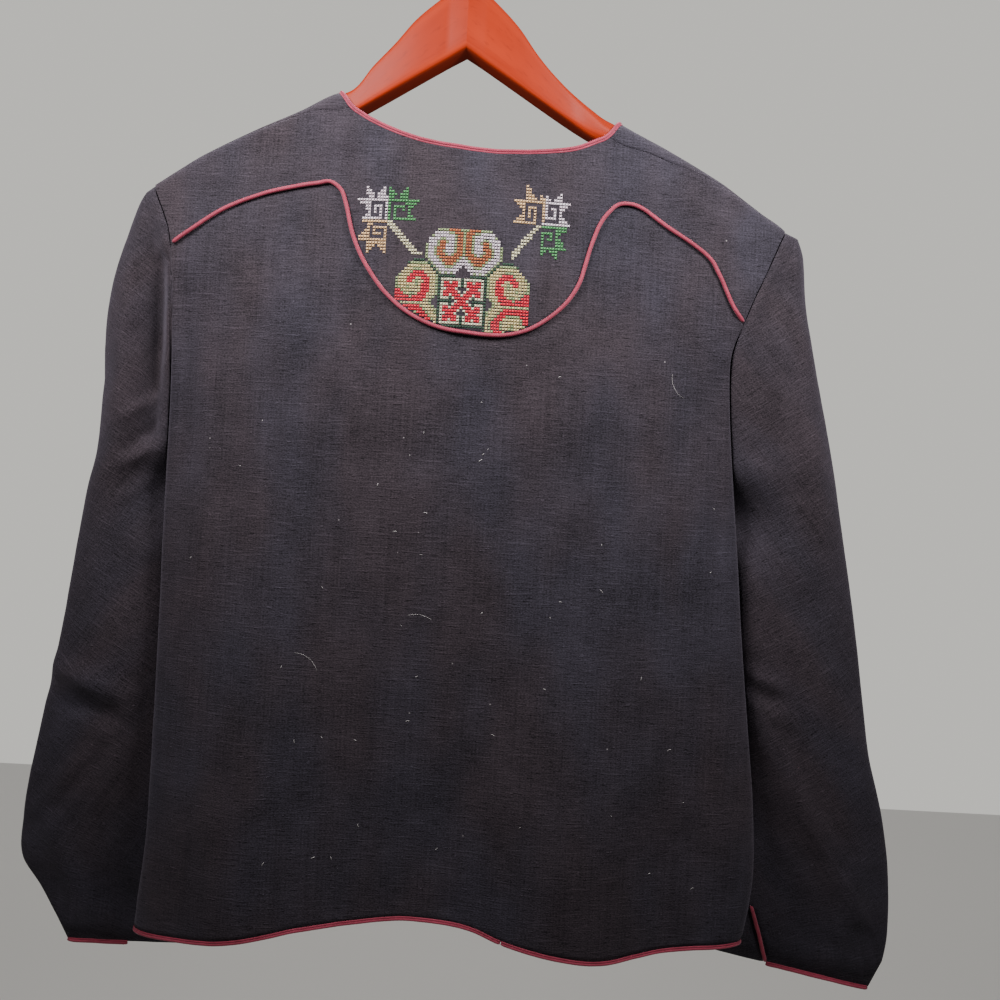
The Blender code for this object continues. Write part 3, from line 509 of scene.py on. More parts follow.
def outside_front(spot, z, side, clearance):
    """Move a point that is inside the jacket, or too near it, out past its fold or its front."""
    left, right = edges(z)
    left, right = left - clearance, right + clearance

    def reach(place):
        across = abs(2 * (place.x - left) / (right - left) - 1)
        out = half_depth(ridge(place.x) - z) + flutes(place.x, z, FRONT_FLUTES) + clearance
        return across ** SIDE_POWER + (abs(place.y - middle_y(place.x, z)) / out) ** SIDE_POWER

    hub = Vector((side_x(z, side) - side * CORNER_HUB, 0))
    hub.y = middle_y(hub.x, z)
    if side * (spot.x - hub.x) < 0:
        hub.x = spot.x
    away = spot - hub
    if away.y < 0 and hub.x == spot.x:
        away.y = 1.0
    scale = 1.0
    while reach(hub + away * scale) < 1:
        scale *= 1.004
    return hub + away * scale


def sleeve_row(table, z_read, side):
    """Nine points round a sleeve at one height, from the back seam or inner fold round outside."""
    outer, outer_y, back, front, inner, crease, bulge = (
        read(table, "z", column, z_read) for column in table[0]._fields[1:]
    )
    k = (outer_y - EYE_Y) / (SLEEVE_READ_AT - EYE_Y)
    z = EYE_Z + (z_read - EYE_Z) * k
    outer = EYE_X + (outer - EYE_X) * k
    edge = side_x(z, side) + side * ARMHOLE_GAP
    back_edge = face_y(side_x(z, side), z, -1)
    front_edge = face_y(side_x(z, side), z, 1)
    width = outer - edge
    valley = (12.0 if side < 0 else 5.0) * ease((abs(width) - 20) / 35) * (1 - closing(z))
    turn = math.pi / 2 * closing(z)
    lead = min(4.5, abs(width) * 0.22)
    out, aside = side * lead * math.cos(turn), lead * math.sin(turn)
    joined = [
        Vector((edge, back_edge)),
        Vector((edge + out, back_edge - aside)),
        Vector((edge + width * crease, mix(back_edge - aside, back, 0.5) + valley)),
        Vector((edge + width * bulge, back)),
        Vector((outer, outer_y)),
        Vector((edge + width * 0.74, front - 3)),
        Vector((edge + width * 0.42, mix(front_edge, front, 0.7))),
        Vector((edge + out, front_edge + aside)),
        Vector((edge, front_edge)),
    ]
    width = outer - inner
    inner_back = face_y(inner, z, 1) + CLEARANCE
    inner_y = (inner_back + front + 4) / 2
    hanging = [
        Vector((inner, inner_y)),
        Vector((inner + width * 0.08, inner_back + 1)),
        Vector((inner + width * crease, mix(back, inner_back, 0.4))),
        Vector((inner + width * bulge, back)),
        Vector((outer, outer_y)),
        Vector((inner + width * 0.76, front - 4)),
        Vector((inner + width * 0.42, front + 2)),
        Vector((inner + width * 0.08, front + 3)),
        Vector((inner, inner_y)),
    ]
    inward = ease((UNDERARM_Z - 22 - z) / 70)
    forward = ease((UNDERARM_Z - z) / 45)
    points = [Vector((mix(a.x, b.x, inward), mix(a.y, b.y, forward))) for a, b in zip(joined, hanging)]
    return z, points


def sleeve_grid(table, side, tip, cuff_z, cuff_rise):
    """Rows of points down a sleeve. The tip is the armhole's point on the shoulder's ridge."""
    samples = 8 * SLEEVE_SAMPLES
    grid = [[Vector((tip[0] + side * 1.0, arm_curve(tip[0]), tip[1] - 0.4))] * (samples + 1)]
    for z_read in SLEEVE_ROWS + (cuff_z,):
        z, points = sleeve_row(table, z_read, side)
        if z > tip[1] - HEAD_ROOM:
            continue
        clearance = mix(ARMHOLE_GAP, CLEARANCE, ease((UNDERARM_Z - z) / 30))
        edge = side_x(z, side) + side * ARMHOLE_GAP
        sag = ease((-650 - z) / 120) * cuff_rise
        row = []
        for k in range(samples + 1):
            spot = spline(points, k / SLEEVE_SAMPLES)
            if z > UNDERARM_Z - 1:
                spot.x = side * max(side * spot.x, side * edge)
            else:
                spot = outside_front(spot, z, side, clearance)
            inside = (spot.x - points[4].x) / (points[0].x - points[4].x)
            row.append(Vector((spot.x, spot.y, z + sag * inside)))
        grid.append(row)
    return grid


def cloth_normal(point):
    """The outward normal of the jacket's body at one of its points."""
    x, z = point.x, point.z
    back = point.y < middle_y(x, z)
    over = over_for(max(ridge(x) - z, 0.0)) * (1 if back else -1)
    across = min(max(across_of(x, z), -1.0), 1.0)
    sideways = wrapped_point(min(across + 0.004, 1.0), over) - wrapped_point(max(across - 0.004, -1.0), over)
    along = wrapped_point(across, over - 0.4) - wrapped_point(across, over + 0.4)
    if closing(z) > 0.2 and abs(across) > 0.9995:
        return Vector((math.copysign(1.0, across), 0, 0))
    return sideways.cross(along).normalized()


def thinned(points, least):
    """Drop points that lie closer than this to the one before, keeping both ends."""
    kept = [points[0]]
    for point in points[1:-1]:
        if (point - kept[-1]).length >= least and (points[-1] - point).length >= least:
            kept.append(point)
    kept.append(points[-1])
    return kept


def along_edge(edge, inner):
    """The route of a cord beyond a panel's edge; inner is the panel's next row of points."""
    route = []
    for i, point in enumerate(edge):
        ahead = edge[min(i + 1, len(edge) - 1)]
        behind = edge[max(i - 1, 0)]
        along = (ahead - behind).normalized()
        beyond = point - inner[i]
        beyond -= along * beyond.dot(along)
        route.append(point + beyond.normalized() * PIPE_LIFT)
    return route


def cut_back(route, trim):
    """Take a length off a route's start."""
    route = list(route)
    while (route[1] - route[0]).length <= trim:
        trim -= (route[1] - route[0]).length
        route.pop(0)
    route[0] = route[0] + (route[1] - route[0]).normalized() * trim
    return route


def shortened(route, start, end):
    """Take lengths off both ends of a route."""
    backwards = list(reversed(cut_back(route, start)))
    return list(reversed(cut_back(backwards, end)))


def shoulder_tip(side):
    """Where the armhole seam crosses the ridge."""
    x = side * SHOULDER_X
    for _ in range(20):
        z = ridge(x)
        x = side_x(z, side)
    return x, z


def vent_route(grid, vent):
    """The cord on the upper edge of a cuff's vent, from its top to just above the cuff's cord."""
    route = []
    for row in grid[vent:]:
        point, before = row[VENT_COLUMN], row[VENT_COLUMN - 1]
        route.append(point + (before - point).normalized() * VENT_OVERLAP + Vector((0, -PIPE_LIFT, 0)))
    return shortened(route, SEAM_GAP, PIPE_RADIUS)


# Local folds seen square on from the back: a line of cloth standing out, or in where out is minus
BACK_FOLDS = rows("x0 z0 x1 z1 width out",
    (-196, -300, -188, -420, 9, -2.2), (-180, -330, -172, -560, 12, 1.6), (-120, -470, -150, -735, 22, 1.8),
    (-60, -520, -70, -735, 16, -1.6), (40, -560, 30, -735, 18, -1.4), (150, -430, 130, -700, 16, 1.5),
    (196, -330, 205, -470, 8, -1.8), (120, -330, 70, -420, 20, 0.9), (-150, -260, -60, -380, 24, 0.8),
    (205, -560, 222, -700, 9, 1.4))
YOKE_FOLDS = rows("x0 z0 x1 z1 width out",
    (-180, -205, -110, -200, 10, 0.7), (150, -195, 215, -235, 9, 0.9), (-60, -190, -75, -215, 8, 0.6),
    (95, -190, 108, -215, 8, 0.6))
LEFT_SLEEVE_FOLDS = rows("x0 z0 x1 z1 width out",
    (-219, -272, -225, -398, 7, -7.0), (-244, -300, -250, -420, 8, 1.5), (-222, -372, -240, -388, 4, 2.0),
    (-221, -392, -238, -410, 4, -1.6), (-222, -412, -242, -424, 4, 1.8), (-224, -436, -246, -452, 5, 1.4),
    (-296, -575, -232, -598, 8, 3.0), (-292, -596, -236, -618, 7, -1.8), (-238, -618, -306, -700, 12, -2.4),
    (-232, -612, -300, -690, 7, 2.6), (-286, -700, -262, -768, 9, 1.8), (-252, -640, -246, -760, 10, -1.8))
RIGHT_SLEEVE_FOLDS = rows("x0 z0 x1 z1 width out",
    (250, -262, 262, -420, 6, -2.2), (268, -300, 286, -470, 8, 1.4), (240, -556, 258, -566, 4, 2.0),
    (241, -568, 260, -580, 4, -1.5), (243, -580, 266, -594, 4, 1.8), (246, -592, 332, -740, 6, 3.0),
    (240, -640, 300, -766, 20, -4.5), (300, -560, 330, -640, 10, 1.4), (330, -700, 318, -770, 9, 1.6))
RIPPLES = ((1.1, 36.0), (0.42, 12.0))      # the unevenness of handwoven cloth: how far out, how wide
FOLD_DEPTH = 2.0            # every fold's depth, beside its table's
FOLD_TAPER = 0.35           # how much lower a fold is at its ends
FADE_ROWS, FADE_COLUMNS = 3, 4              # how far in from a panel's edges its folds fade out


def relief(x, z, folds):
    """How far the cloth stands out at a place, beyond its main form."""
    total = sum(out * noise.noise(Vector((x, z * 1.3, 7.0)) / size) for out, size in RIPPLES)
    for fold in folds:
        run, rise = fold.x1 - fold.x0, fold.z1 - fold.z0
        t = ((x - fold.x0) * run + (z - fold.z0) * rise) / (run * run + rise * rise)
        near = min(max(t, 0.0), 1.0)
        away = math.hypot(x - fold.x0 - run * near, z - fold.z0 - rise * near)
        if away < 3 * fold.width:
            height = FOLD_DEPTH * fold.out * math.exp(-(away / fold.width) ** 2)
            total += height * (1 - FOLD_TAPER * abs(2 * near - 1))
    return total


def make_piece(name, shape, look, turn_out=True):
    """A smooth piece of the one body, from a finished shape."""
    if turn_out:
        bmesh.ops.recalc_face_normals(shape, faces=shape.faces)
    mesh = bpy.data.meshes.new(name)
    shape.to_mesh(mesh)
    shape.free()
    piece = bpy.data.objects.new(name, mesh)
    bpy.context.collection.objects.link(piece)
    mesh.materials.append(look)
    mesh.shade_smooth()
    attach(piece, "root")
    return piece


def tube(shape, rings):
    """Skin rings of corners and close the ends. Gives (face, ring, corner) of the sides, and the ends."""
    sides = []
    for i, (first, second) in enumerate(zip(rings, rings[1:])):
        for k in range(len(first)):
            after = (k + 1) % len(first)
            sides.append((shape.faces.new((first[k], first[after], second[after], second[k])), i, k))
    return sides, (shape.faces.new(rings[0][::-1]), shape.faces.new(rings[-1]))


def shell(name, grid, outward, look, uv, closed_from=None, slit=None):
    """A cloth wall whose outer face is the grid of points; outward points out of its middle face.

    uv gives a point's place in the weave by its row and column. closed_from is the row from which
    the first and last columns are one, slit the (row, column) from which a column is cut open and
    its inner side tucked under.
    """
    shape = bmesh.new()
    weave = shape.loops.layers.uv.new("weave")
    last = len(grid[0]) - 1
    corners = {}

    def corner(i, j, right_hand):
        if closed_from is not None and i >= closed_from and j == last:
            j = 0
        if i == 0 and grid[0][0] == grid[0][last]:
            j = 0
        cut = slit is not None and i > slit[0] and j == slit[1] and not right_hand
        key = (i, j, cut)
        if key not in corners:
            place = grid[i][j].copy()
            if cut:
                tuck = grid[i][j - 1] - grid[i][j]
                place += tuck.normalized() * TUCK_ASIDE + Vector((0, TUCK_UNDER, 0))
            corners[key] = shape.verts.new(place * MM)
        return corners[key]

    for i in range(len(grid) - 1):
        for j in range(last):
            if None in (grid[i][j], grid[i][j + 1], grid[i + 1][j], grid[i + 1][j + 1]):
                continue
            loop, places = [], []
            for vert, place in (
                (corner(i, j, True), (i, j)), (corner(i + 1, j, True), (i + 1, j)),
                (corner(i + 1, j + 1, False), (i + 1, j + 1)), (corner(i, j + 1, False), (i, j + 1)),
            ):
                if vert not in loop:
                    loop.append(vert)
                    places.append(place)
            if len(loop) > 2:
                face = shape.faces.new(loop)
                for side, place in zip(face.loops, places):
                    side[weave].uv = uv(*place)
    shape.faces.ensure_lookup_table()
    shape.normal_update()
    probe = shape.faces[len(shape.faces) // 2]
    if probe.normal.dot(outward(probe.calc_center_median() / MM)) < 0:
        bmesh.ops.reverse_faces(shape, faces=shape.faces)
        shape.normal_update()
    inner = {vert: shape.verts.new(vert.co - vert.normal * WALL * MM) for vert in list(shape.verts)}
    rims = [loop for face in shape.faces for loop in face.loops if loop.edge.is_boundary]
    rims = [(loop.vert, loop.link_loop_next.vert, loop[weave].uv.copy()) for loop in rims]
    for face in list(shape.faces):
        places = {loop.vert: loop[weave].uv.copy() for loop in face.loops}
        verts = list(reversed(face.verts))
        back = shape.faces.new([inner[vert] for vert in verts])
        for side, vert in zip(back.loops, verts):
            side[weave].uv = places[vert]
    for a, b, place in rims:
        rim = shape.faces.new((b, a, inner[a], inner[b]))
        for side in rim.loops:
            side[weave].uv = place
    return make_piece(name, shape, look, turn_out=False)


def raised(grid, folds):
    """The grid with its points moved out, away from the front, by the relief."""
    return [
        [Vector((point.x, point.y - relief(point.x, point.z, folds), point.z)) for point in row]
        for row in grid
    ]


def folded(plain, folds):
    """A panel with its folds, which fade out toward its edges."""
    moved = raised(plain, folds)
    height, width = len(plain) - 1, len(plain[0]) - 1
    for i, row in enumerate(moved):
        for j, point in enumerate(row):
            fade = min(min(i, height - i) / FADE_ROWS, min(j, width - j) / FADE_COLUMNS, 1.0)
            row[j] = plain[i][j].lerp(point, ease(fade))
    return moved


def flat_uv(grid):
    """Weave coordinates of a body panel, its weft level: across it, and its cloth length down it."""
    def place(i, j):
        point = grid[i][j]
        crest = ridge(point.x)
        return point.x * MM, (crest - over_for(max(crest - point.z, 0.0))) * MM
    return place


SLEEVE_GRAIN = math.radians(30)     # how the sleeve's weft slants, from its outer edge down to the body


def tube_uv(grid):
    """Weave coordinates of a sleeve: round it and down it, turned to its grain."""
    turn, lift = math.cos(SLEEVE_GRAIN), math.sin(SLEEVE_GRAIN)
    around = [lengths_along(row) for row in grid]
    down = lengths_along([row[OUTER_COLUMN] for row in grid])

    def place(i, j):
        u, v = (around[i][j] - around[i][OUTER_COLUMN]) * MM, -down[i] * MM
        return u * turn + v * lift, v * turn - u * lift
    return place


def smooth_route(route, spacing):
    """Points at even spacing on a smooth curve through a route."""
    count = max(int(lengths_along(route)[-1] / spacing), 4)
    fine = [spline(route, k * (len(route) - 1) / (6 * len(route))) for k in range(6 * len(route) + 1)]
    lengths = lengths_along(fine)
    found, k = [], 0
    for step in range(count + 1):
        target = lengths[-1] * step / count
        while k < len(fine) - 2 and lengths[k + 1] < target:
            k += 1
        t = (target - lengths[k]) / max(lengths[k + 1] - lengths[k], 1e-9)
        found.append(fine[k].lerp(fine[k + 1], min(t, 1.0)))
    return found


CORD_SPACING = 1.1
CORD_SIDES = 12
CORD_STITCH = 2.6           # from one holding stitch to the next
CORD_PINCH = 0.045          # the share of its radius that a stitch draws in
CORD_WANDER = 0.22
CORD_TAPER = (0.55, 0.88)   # the radius of the last rings at each end
FLANGE = ((0.6, 0.16), (2.3, 0.16), (2.3, -0.16), (0.6, -0.16))     # the strip caught in the seam, in section


def cord(name, route, anchor, look, shows=1.0):
    """Corded piping: a covered cord, its end closed, with the strip that is caught in the seam.

    anchor gives, for a point of the route, the direction of the seam it is sewn into. shows is the
    share of the cord that stands out of its seam.
    """
    path = smooth_route(route, CORD_SPACING)
    lengths = lengths_along(path)
    shape = bmesh.new()
    weave = shape.loops.layers.uv.new("weave")
    rings, strip = [], []
    for i, point in enumerate(path):
        along = (path[min(i + 1, len(path) - 1)] - path[max(i - 1, 0)]).normalized()
        toward = anchor(point)
        inward = (toward - along * toward.dot(along)).normalized()
        aside = along.cross(inward)
        pinch = CORD_PINCH * math.sin(2 * math.pi * lengths[i] / CORD_STITCH)
        radius = PIPE_RADIUS * shows * (1 + pinch + 0.05 * noise.noise(point / 9.0))
        wander = Vector((noise.noise(point / 15.0 + Vector((9, 0, 0))), 0, noise.noise(point / 15.0)))
        middle = point + wander * CORD_WANDER + inward * PIPE_RADIUS * (1 - shows)
        end = min(i, len(path) - 1 - i)
        if end < len(CORD_TAPER):
            radius *= CORD_TAPER[end]
        ring = []
        for k in range(CORD_SIDES):
            angle = 2 * math.pi * k / CORD_SIDES
            spot = middle + (inward * math.cos(angle) + aside * math.sin(angle)) * radius
            ring.append(shape.verts.new(spot * MM))
        rings.append(ring)
        strip.append([shape.verts.new((middle + inward * deep + aside * half) * MM) for deep, half in FLANGE])
    sides, caps = tube(shape, rings)
    girth = 2 * math.pi * PIPE_RADIUS
    for face, i, k in sides:
        places = ((k, i), (k + 1, i), (k + 1, i + 1), (k, i + 1))
        for loop, (step, ring) in zip(face.loops, places):
            loop[weave].uv = (step / CORD_SIDES * girth * MM, lengths[ring] * MM)
    for cap, length in zip(caps, (lengths[0], lengths[-1])):
        for loop in cap.loops:
            loop[weave].uv = (0, length * MM)
    for face, i, k in tube(shape, strip)[0]:
        for loop in face.loops:
            loop[weave].uv = (k * 0.4 * MM, lengths[i] * MM)
    piece = make_piece(name, shape, look)
    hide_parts(name.replace("cord", "piping"))
    return piece


def make_panels(look):
    back = folded(back_panel_grid(), BACK_FOLDS)
    yoke = folded(back_yoke_grid(), YOKE_FOLDS)
    left = front_grid(NECK_SIDE_LEFT, NECK_FRONT_LEFT, -1)
    right = front_grid(NECK_SIDE_RIGHT, NECK_FRONT_RIGHT, 1)
    pieces = []
    for name, node, grid, facing in (
        ("back_cloth", "back_panel", back, -1), ("yoke_cloth", "back_yoke", yoke, -1),
        ("front_cloth_left", "front_left", left, 1), ("front_cloth_right", "front_right", right, 1),
    ):
        way = Vector((0, facing, 0))
        piece = shell(name, grid, lambda place, way=way: way, look, flat_uv(grid))
        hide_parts(node)
        pieces.append(piece)
    return pieces, back, yoke, left, right


# A sleeve's folds fade out over its first rows and columns, and toward its outer edge, where they
# end some columns beyond it
FADE_DOWN, FADE_IN, FADE_OUT, FADE_BEYOND = 5, 1.5, 8, 4
HEAD_ROUND = 22.0           # drop over which the sleeve's head rounds out from the shoulder's tip
HEAD_START = 0.5            # the share of its width that the head starts with
LEFT_HEAD_OUT = 7.0         # how far the left sleeve's upper part stands out beyond the plain one
LEFT_HEAD_DROP = 150.0


def rounded_head(grid, tip_z, out):
    """Round the sleeve's head, and fill its upper part out sideways."""
    for row in grid[1:]:
        drop = tip_z - row[0].z
        seam, reach = row[0].x, row[OUTER_COLUMN].x - row[0].x
        rise = max(1 - drop / HEAD_ROUND, 0.0)
        width = mix(HEAD_START, 1.0, math.sqrt(1 - rise * rise))
        swell = out * math.sin(math.pi * min(drop / LEFT_HEAD_DROP, 1.0))
        for point in row:
            share = (point.x - seam) / reach
            point.x = seam + reach * share * width + math.copysign(swell, reach) * share
    return grid


def make_sleeves(look):
    pieces, grids = [], []
    for side_name, table, side, cuff_z, rise, folds in (
        ("left", SLEEVE_LEFT, -1, -784, 3.0, LEFT_SLEEVE_FOLDS),
        ("right", SLEEVE_RIGHT, 1, -789, 26.0, RIGHT_SLEEVE_FOLDS),
    ):
        tip = shoulder_tip(side)
        plain = sleeve_grid(table, side, tip, cuff_z, rise)
        plain = rounded_head(plain, tip[1], LEFT_HEAD_OUT if side < 0 else 0.0)
        closed = min(i for i, row in enumerate(plain) if i and row[OUTER_COLUMN].z < UNDERARM_Z)
        vent = max(i for i, row in enumerate(plain) if row[VENT_COLUMN].z > VENT_ROW)
        moved = raised(plain, folds)
        grid = []
        for i, row in enumerate(plain):
            line = []
            for j, point in enumerate(row):
                left = max(OUTER_COLUMN + FADE_BEYOND - j, 0)
                fade = min(i / FADE_DOWN, j / FADE_IN, left / FADE_OUT, 1.0)
                line.append(point.lerp(moved[i][j], ease(fade)))
            grid.append(line)

        def outward(place, grid=grid):
            row = min(grid, key=lambda r: abs(r[OUTER_COLUMN].z - place.z))
            heart = (row[0] + row[OUTER_COLUMN]) / 2
            return Vector((place.x - heart.x, place.y - heart.y, 0))

        piece = shell("sleeve_cloth_" + side_name, grid, outward, look, tube_uv(grid),
                      closed_from=closed, slit=(vent, VENT_COLUMN) if side > 0 else None)
        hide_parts("sleeve_" + side_name)
        pieces.append(piece)
        grids.append((grid, vent))
    return pieces, grids


class Recipe:
    """A material's nodes, written as sums: each call adds a node and gives its output."""

    def __init__(self, name):
        self.look = bpy.data.materials.new(name)
        self.look.use_nodes = True
        self.tree = self.look.node_tree
        self.shader = self.tree.nodes["Principled BSDF"]

    def node(self, kind, **values):
        made = self.tree.nodes.new(kind)
        for key, value in values.items():
            setattr(made, key, value)
        return made

    def link(self, source, target):
        """Feed an output, a number or a colour into a socket."""
        if isinstance(source, tuple):
            target.default_value = (*source, 1)
        elif isinstance(source, (int, float)):
            target.default_value = source
        else:
            self.tree.links.new(source, target)

    def sum(self, operation, first, second=0.0, third=0.0):
        made = self.node("ShaderNodeMath", operation=operation)
        for place, value in enumerate((first, second, third)):
            self.link(value, made.inputs[place])
        return made.outputs[0]

    def total(self, *parts):
        """The sum of some values, each times its weight."""
        total = 0.0
        for value, weight in parts:
            total = self.sum("MULTIPLY_ADD", value, weight, total)
        return total

    def split(self, source):
        made = self.node("ShaderNodeSeparateXYZ")
        self.link(source, made.inputs[0])
        return made.outputs

    def uv(self, layer):
        return self.split(self.node("ShaderNodeUVMap", uv_map=layer).outputs[0])[:2]

    def spot(self):
        return self.node("ShaderNodeTexCoord").outputs["Object"]

    def place(self, spot, cells):
        """A point for a texture, from two coordinates and the cells to the metre along each."""
        made = self.node("ShaderNodeCombineXYZ")
        for number in (0, 1):
            self.link(self.sum("MULTIPLY", spot[number], cells[number]), made.inputs[number])
        return made.outputs[0]

    def noise(self, spot, detail=2.0, rough=0.5):
        made = self.node("ShaderNodeTexNoise")
        self.link(spot, made.inputs["Vector"])
        for name, value in (("Scale", 1.0), ("Detail", detail), ("Roughness", rough)):
            made.inputs[name].default_value = value
        return made.outputs[0]

    def cells(self, spot, cells, detail=2.0, rough=0.5):
        return self.noise(self.place(spot, cells), detail, rough)

    def spread(self, value, low, high, to_low=0.0, to_high=1.0):
        made = self.node("ShaderNodeMapRange", clamp=True)
        for name, number in (("From Min", low), ("From Max", high), ("To Min", to_low), ("To Max", to_high)):
            made.inputs[name].default_value = number
        self.link(value, made.inputs["Value"])
        return made.outputs[0]

    def blend(self, share, first, second, kind="MIX"):
        made = self.node("ShaderNodeMix", data_type="RGBA", blend_type=kind)
        for name, value in (("Factor", share), ("A", first), ("B", second)):
            self.link(value, made.inputs[name])
        return made.outputs["Result"]

    def bump(self, height, distance):
        made = self.node("ShaderNodeBump")
        made.inputs["Distance"].default_value = distance
        made.inputs["Strength"].default_value = 1.0
        self.link(height, made.inputs["Height"])
        self.link(made.outputs[0], self.shader.inputs["Normal"])

    def finish(self, **values):
        """Feed the shader's named sockets, and give the material."""
        for key, value in values.items():
            self.link(value, self.shader.inputs[key.replace("_", " ")])
        return self.look


def shaded(colour, factor):
    return tuple(value * factor for value in colour)


# Cell sizes of the weave's unevenness, in cells to the metre across the cloth and down it
YARN = (760, 1150)
STREAK = (85, 1000)
SLUB = (42, 520)
GAP_SHADE = (130, 760)
WARP = (900, 9)
NUB = (230, 300)
PATCH = (11, 5)
SHADE_PATCH = (26, 19)
LINT_CELLS = (70, 80)
CLOTH_DARK, CLOTH_PALE = (0.0060, 0.0049, 0.0062), (0.056, 0.0475, 0.0595)


def cloth_look(name, lightness):
    """Black handwoven cloth: uneven weft with slubs, faint warp, nubs, brown and blue drifts, lint."""
    made = Recipe(name)
    weave = made.uv("weave")
    yarn = made.cells(weave, YARN, 1.0)
    streak = made.cells(weave, STREAK, 2.0, 0.6)
    slub = made.spread(made.cells(weave, SLUB, 2.0, 0.6), 0.54, 0.72)
    # short dark dashes sunk into the cloth: painted shade in the gaps between threads
    gap_shade = made.spread(made.cells(weave, GAP_SHADE, 2.0, 0.6), 0.28, 0.40, 1.0, 0.0)
    warp = made.cells(weave, WARP, 2.0, 0.6)
    nub = made.spread(made.cells(weave, NUB, 1.0), 0.68, 0.80)
    patch = made.cells(weave, PATCH, 2.0, 0.6)
    cloud = made.cells(weave, SHADE_PATCH, 3.0, 0.6)
    shade = made.total(
        (yarn, 1.15), (streak, 0.50), (cloud, 0.55), (warp, 0.40), (slub, 0.20), (nub, 0.30), (gap_shade, -0.30),
    )
    dark, pale = shaded(CLOTH_DARK, lightness), shaded(CLOTH_PALE, lightness)
    colour = made.blend(made.spread(shade, 0.95, 1.78), dark, pale)
    drift = made.blend(made.spread(patch, 0.40, 0.60), (1.05, 0.95, 0.90), (0.93, 0.98, 1.05))
    colour = made.blend(1.0, colour, drift, "MULTIPLY")
    # lint: a speck in the middle of one in ten of a pattern's cells
    grain = made.node("ShaderNodeTexVoronoi")
    made.link(made.place(weave, LINT_CELLS), grain.inputs["Vector"])
    grain.inputs["Scale"].default_value = 1.0
    red = made.node("ShaderNodeSeparateColor")
    made.link(grain.outputs["Color"], red.inputs[0])
    chosen = made.sum("GREATER_THAN", red.outputs[0], 0.90)
    speck = made.sum("MULTIPLY", made.spread(grain.outputs["Distance"], 0.03, 0.05, 1.0, 0.0), chosen)
    colour = made.blend(made.sum("MULTIPLY", speck, 0.6), colour, (0.30, 0.28, 0.28))
    made.bump(made.total((yarn, 0.9), (streak, 0.8), (slub, 0.6), (nub, 0.9), (gap_shade, -0.6)), 0.00038)
    return made.finish(
        Base_Color=colour, Roughness=made.spread(streak, 0.3, 0.8, 0.95, 0.78), Specular_IOR_Level=0.14,
        Sheen_Weight=0.14, Sheen_Roughness=0.55, Sheen_Tint=(0.62, 0.55, 0.68),
    )


def thread_look(word, colour):
    """Embroidery thread: a little lustre, each stitch a slightly different shade."""
    made = Recipe("thread_" + word)
    x, _, z = made.split(made.spot())
    stitch = made.cells((x, z), (430, 390), 0.0)
    fibre = made.cells((made.sum("ADD", x, z), made.sum("SUBTRACT", x, z)), (5200, 700), 1.0)
    share = made.total((made.spread(stitch, 0.3, 0.7), 0.6), (fibre, 0.4))
    pale = tuple(min(value, 0.92) for value in shaded(colour, 1.55))
    made.bump(fibre, 0.00010)
    return made.finish(
        Base_Color=made.blend(share, shaded(colour, 0.85), pale),
        Roughness=made.spread(fibre, 0.3, 0.7, 0.62, 0.42), Specular_IOR_Level=0.30,
        Sheen_Weight=0.08, Sheen_Roughness=0.4,
    )


def cord_look():
    """Raspberry-red cloth drawn over a cord, on the bias, with small patches of paler pink that are painted
    sheen.
    """
    made = Recipe("raspberry_piping")
    spot = made.uv("weave")
    around, along = spot
    turn = 2 * math.pi
    aslant = made.sum("MULTIPLY", around, turn / 0.0019)
    bias = made.sum("SINE", made.sum("ADD", made.sum("MULTIPLY", along, turn / 0.00115), aslant))
    counter = made.sum("SINE", made.sum("SUBTRACT", made.sum("MULTIPLY", along, turn / 0.0013), aslant))
    patch = made.cells(spot, (260, 120), 3.0, 0.6)
    long_patch = made.cells(spot, (20, 16))
    share = made.total((made.spread(patch, 0.3, 0.7), 0.5), (made.spread(long_patch, 0.3, 0.7), 0.5))
    colour = made.blend(share, (0.17, 0.010, 0.026), (0.31, 0.034, 0.066))
    # small random patches of paler pink: painted sheen, in the lit colour of the piping
    painted_sheen = made.spread(made.cells(spot, (900, 500)), 0.60, 0.74, 0.0, 0.35)
    made.bump(made.total((bias, 0.35), (counter, 0.25), (patch, 0.8)), 0.00016)
    return made.finish(
        Base_Color=made.blend(painted_sheen, colour, (0.42, 0.11, 0.15)), Roughness=0.66, Specular_IOR_Level=0.35,
        Sheen_Weight=0.35, Sheen_Roughness=0.45, Sheen_Tint=(1.0, 0.62, 0.70),
    )


def wood_look():
    """Orange-brown varnished wood, the grain along each arm."""
    made = Recipe("varnished_wood")
    along, around = made.uv("grain")
    drift = made.cells((along, around), (9, 30))
    bands = made.cells((made.sum("MULTIPLY_ADD", drift, 0.02, along), around), (7, 190), 4.0, 0.6)
    pores = made.cells((along, around), (95, 2400), 2.0, 0.6)
    colour = made.blend(made.spread(bands, 0.32, 0.68), (0.205, 0.0165, 0.004), (0.27, 0.025, 0.007))
    colour = made.blend(made.spread(pores, 0.56, 0.72, 0.0, 0.45), colour, (0.13, 0.013, 0.005))
    made.bump(made.total((pores, 0.5), (bands, 1.0)), 0.00012)
    return made.finish(
        Base_Color=colour, Roughness=made.spread(bands, 0.3, 0.7, 0.34, 0.46),
        Coat_Weight=0.02, Coat_Roughness=0.22, Specular_IOR_Level=0.06,
    )


def steel_look():
    """Bright drawn wire, faintly scratched."""
    made = Recipe("hook_steel")
    stretch = made.node("ShaderNodeMapping")
    stretch.inputs["Scale"].default_value = (900, 900, 120)
    made.link(made.spot(), stretch.inputs["Vector"])
    scratch = made.noise(stretch.outputs[0], 3.0)
    made.bump(scratch, 0.00004)
    return made.finish(
        Base_Color=made.blend(scratch, (0.48, 0.48, 0.49), (0.66, 0.66, 0.67)),
        Roughness=made.spread(scratch, 0.3, 0.7, 0.20, 0.38), Metallic=1.0,
    )


def lint_look():
    made = Recipe("lint")
    colour = made.blend(made.noise(made.spot()), (0.40, 0.38, 0.37), (0.75, 0.73, 0.70))
    return made.finish(Base_Color=colour, Roughness=0.9)


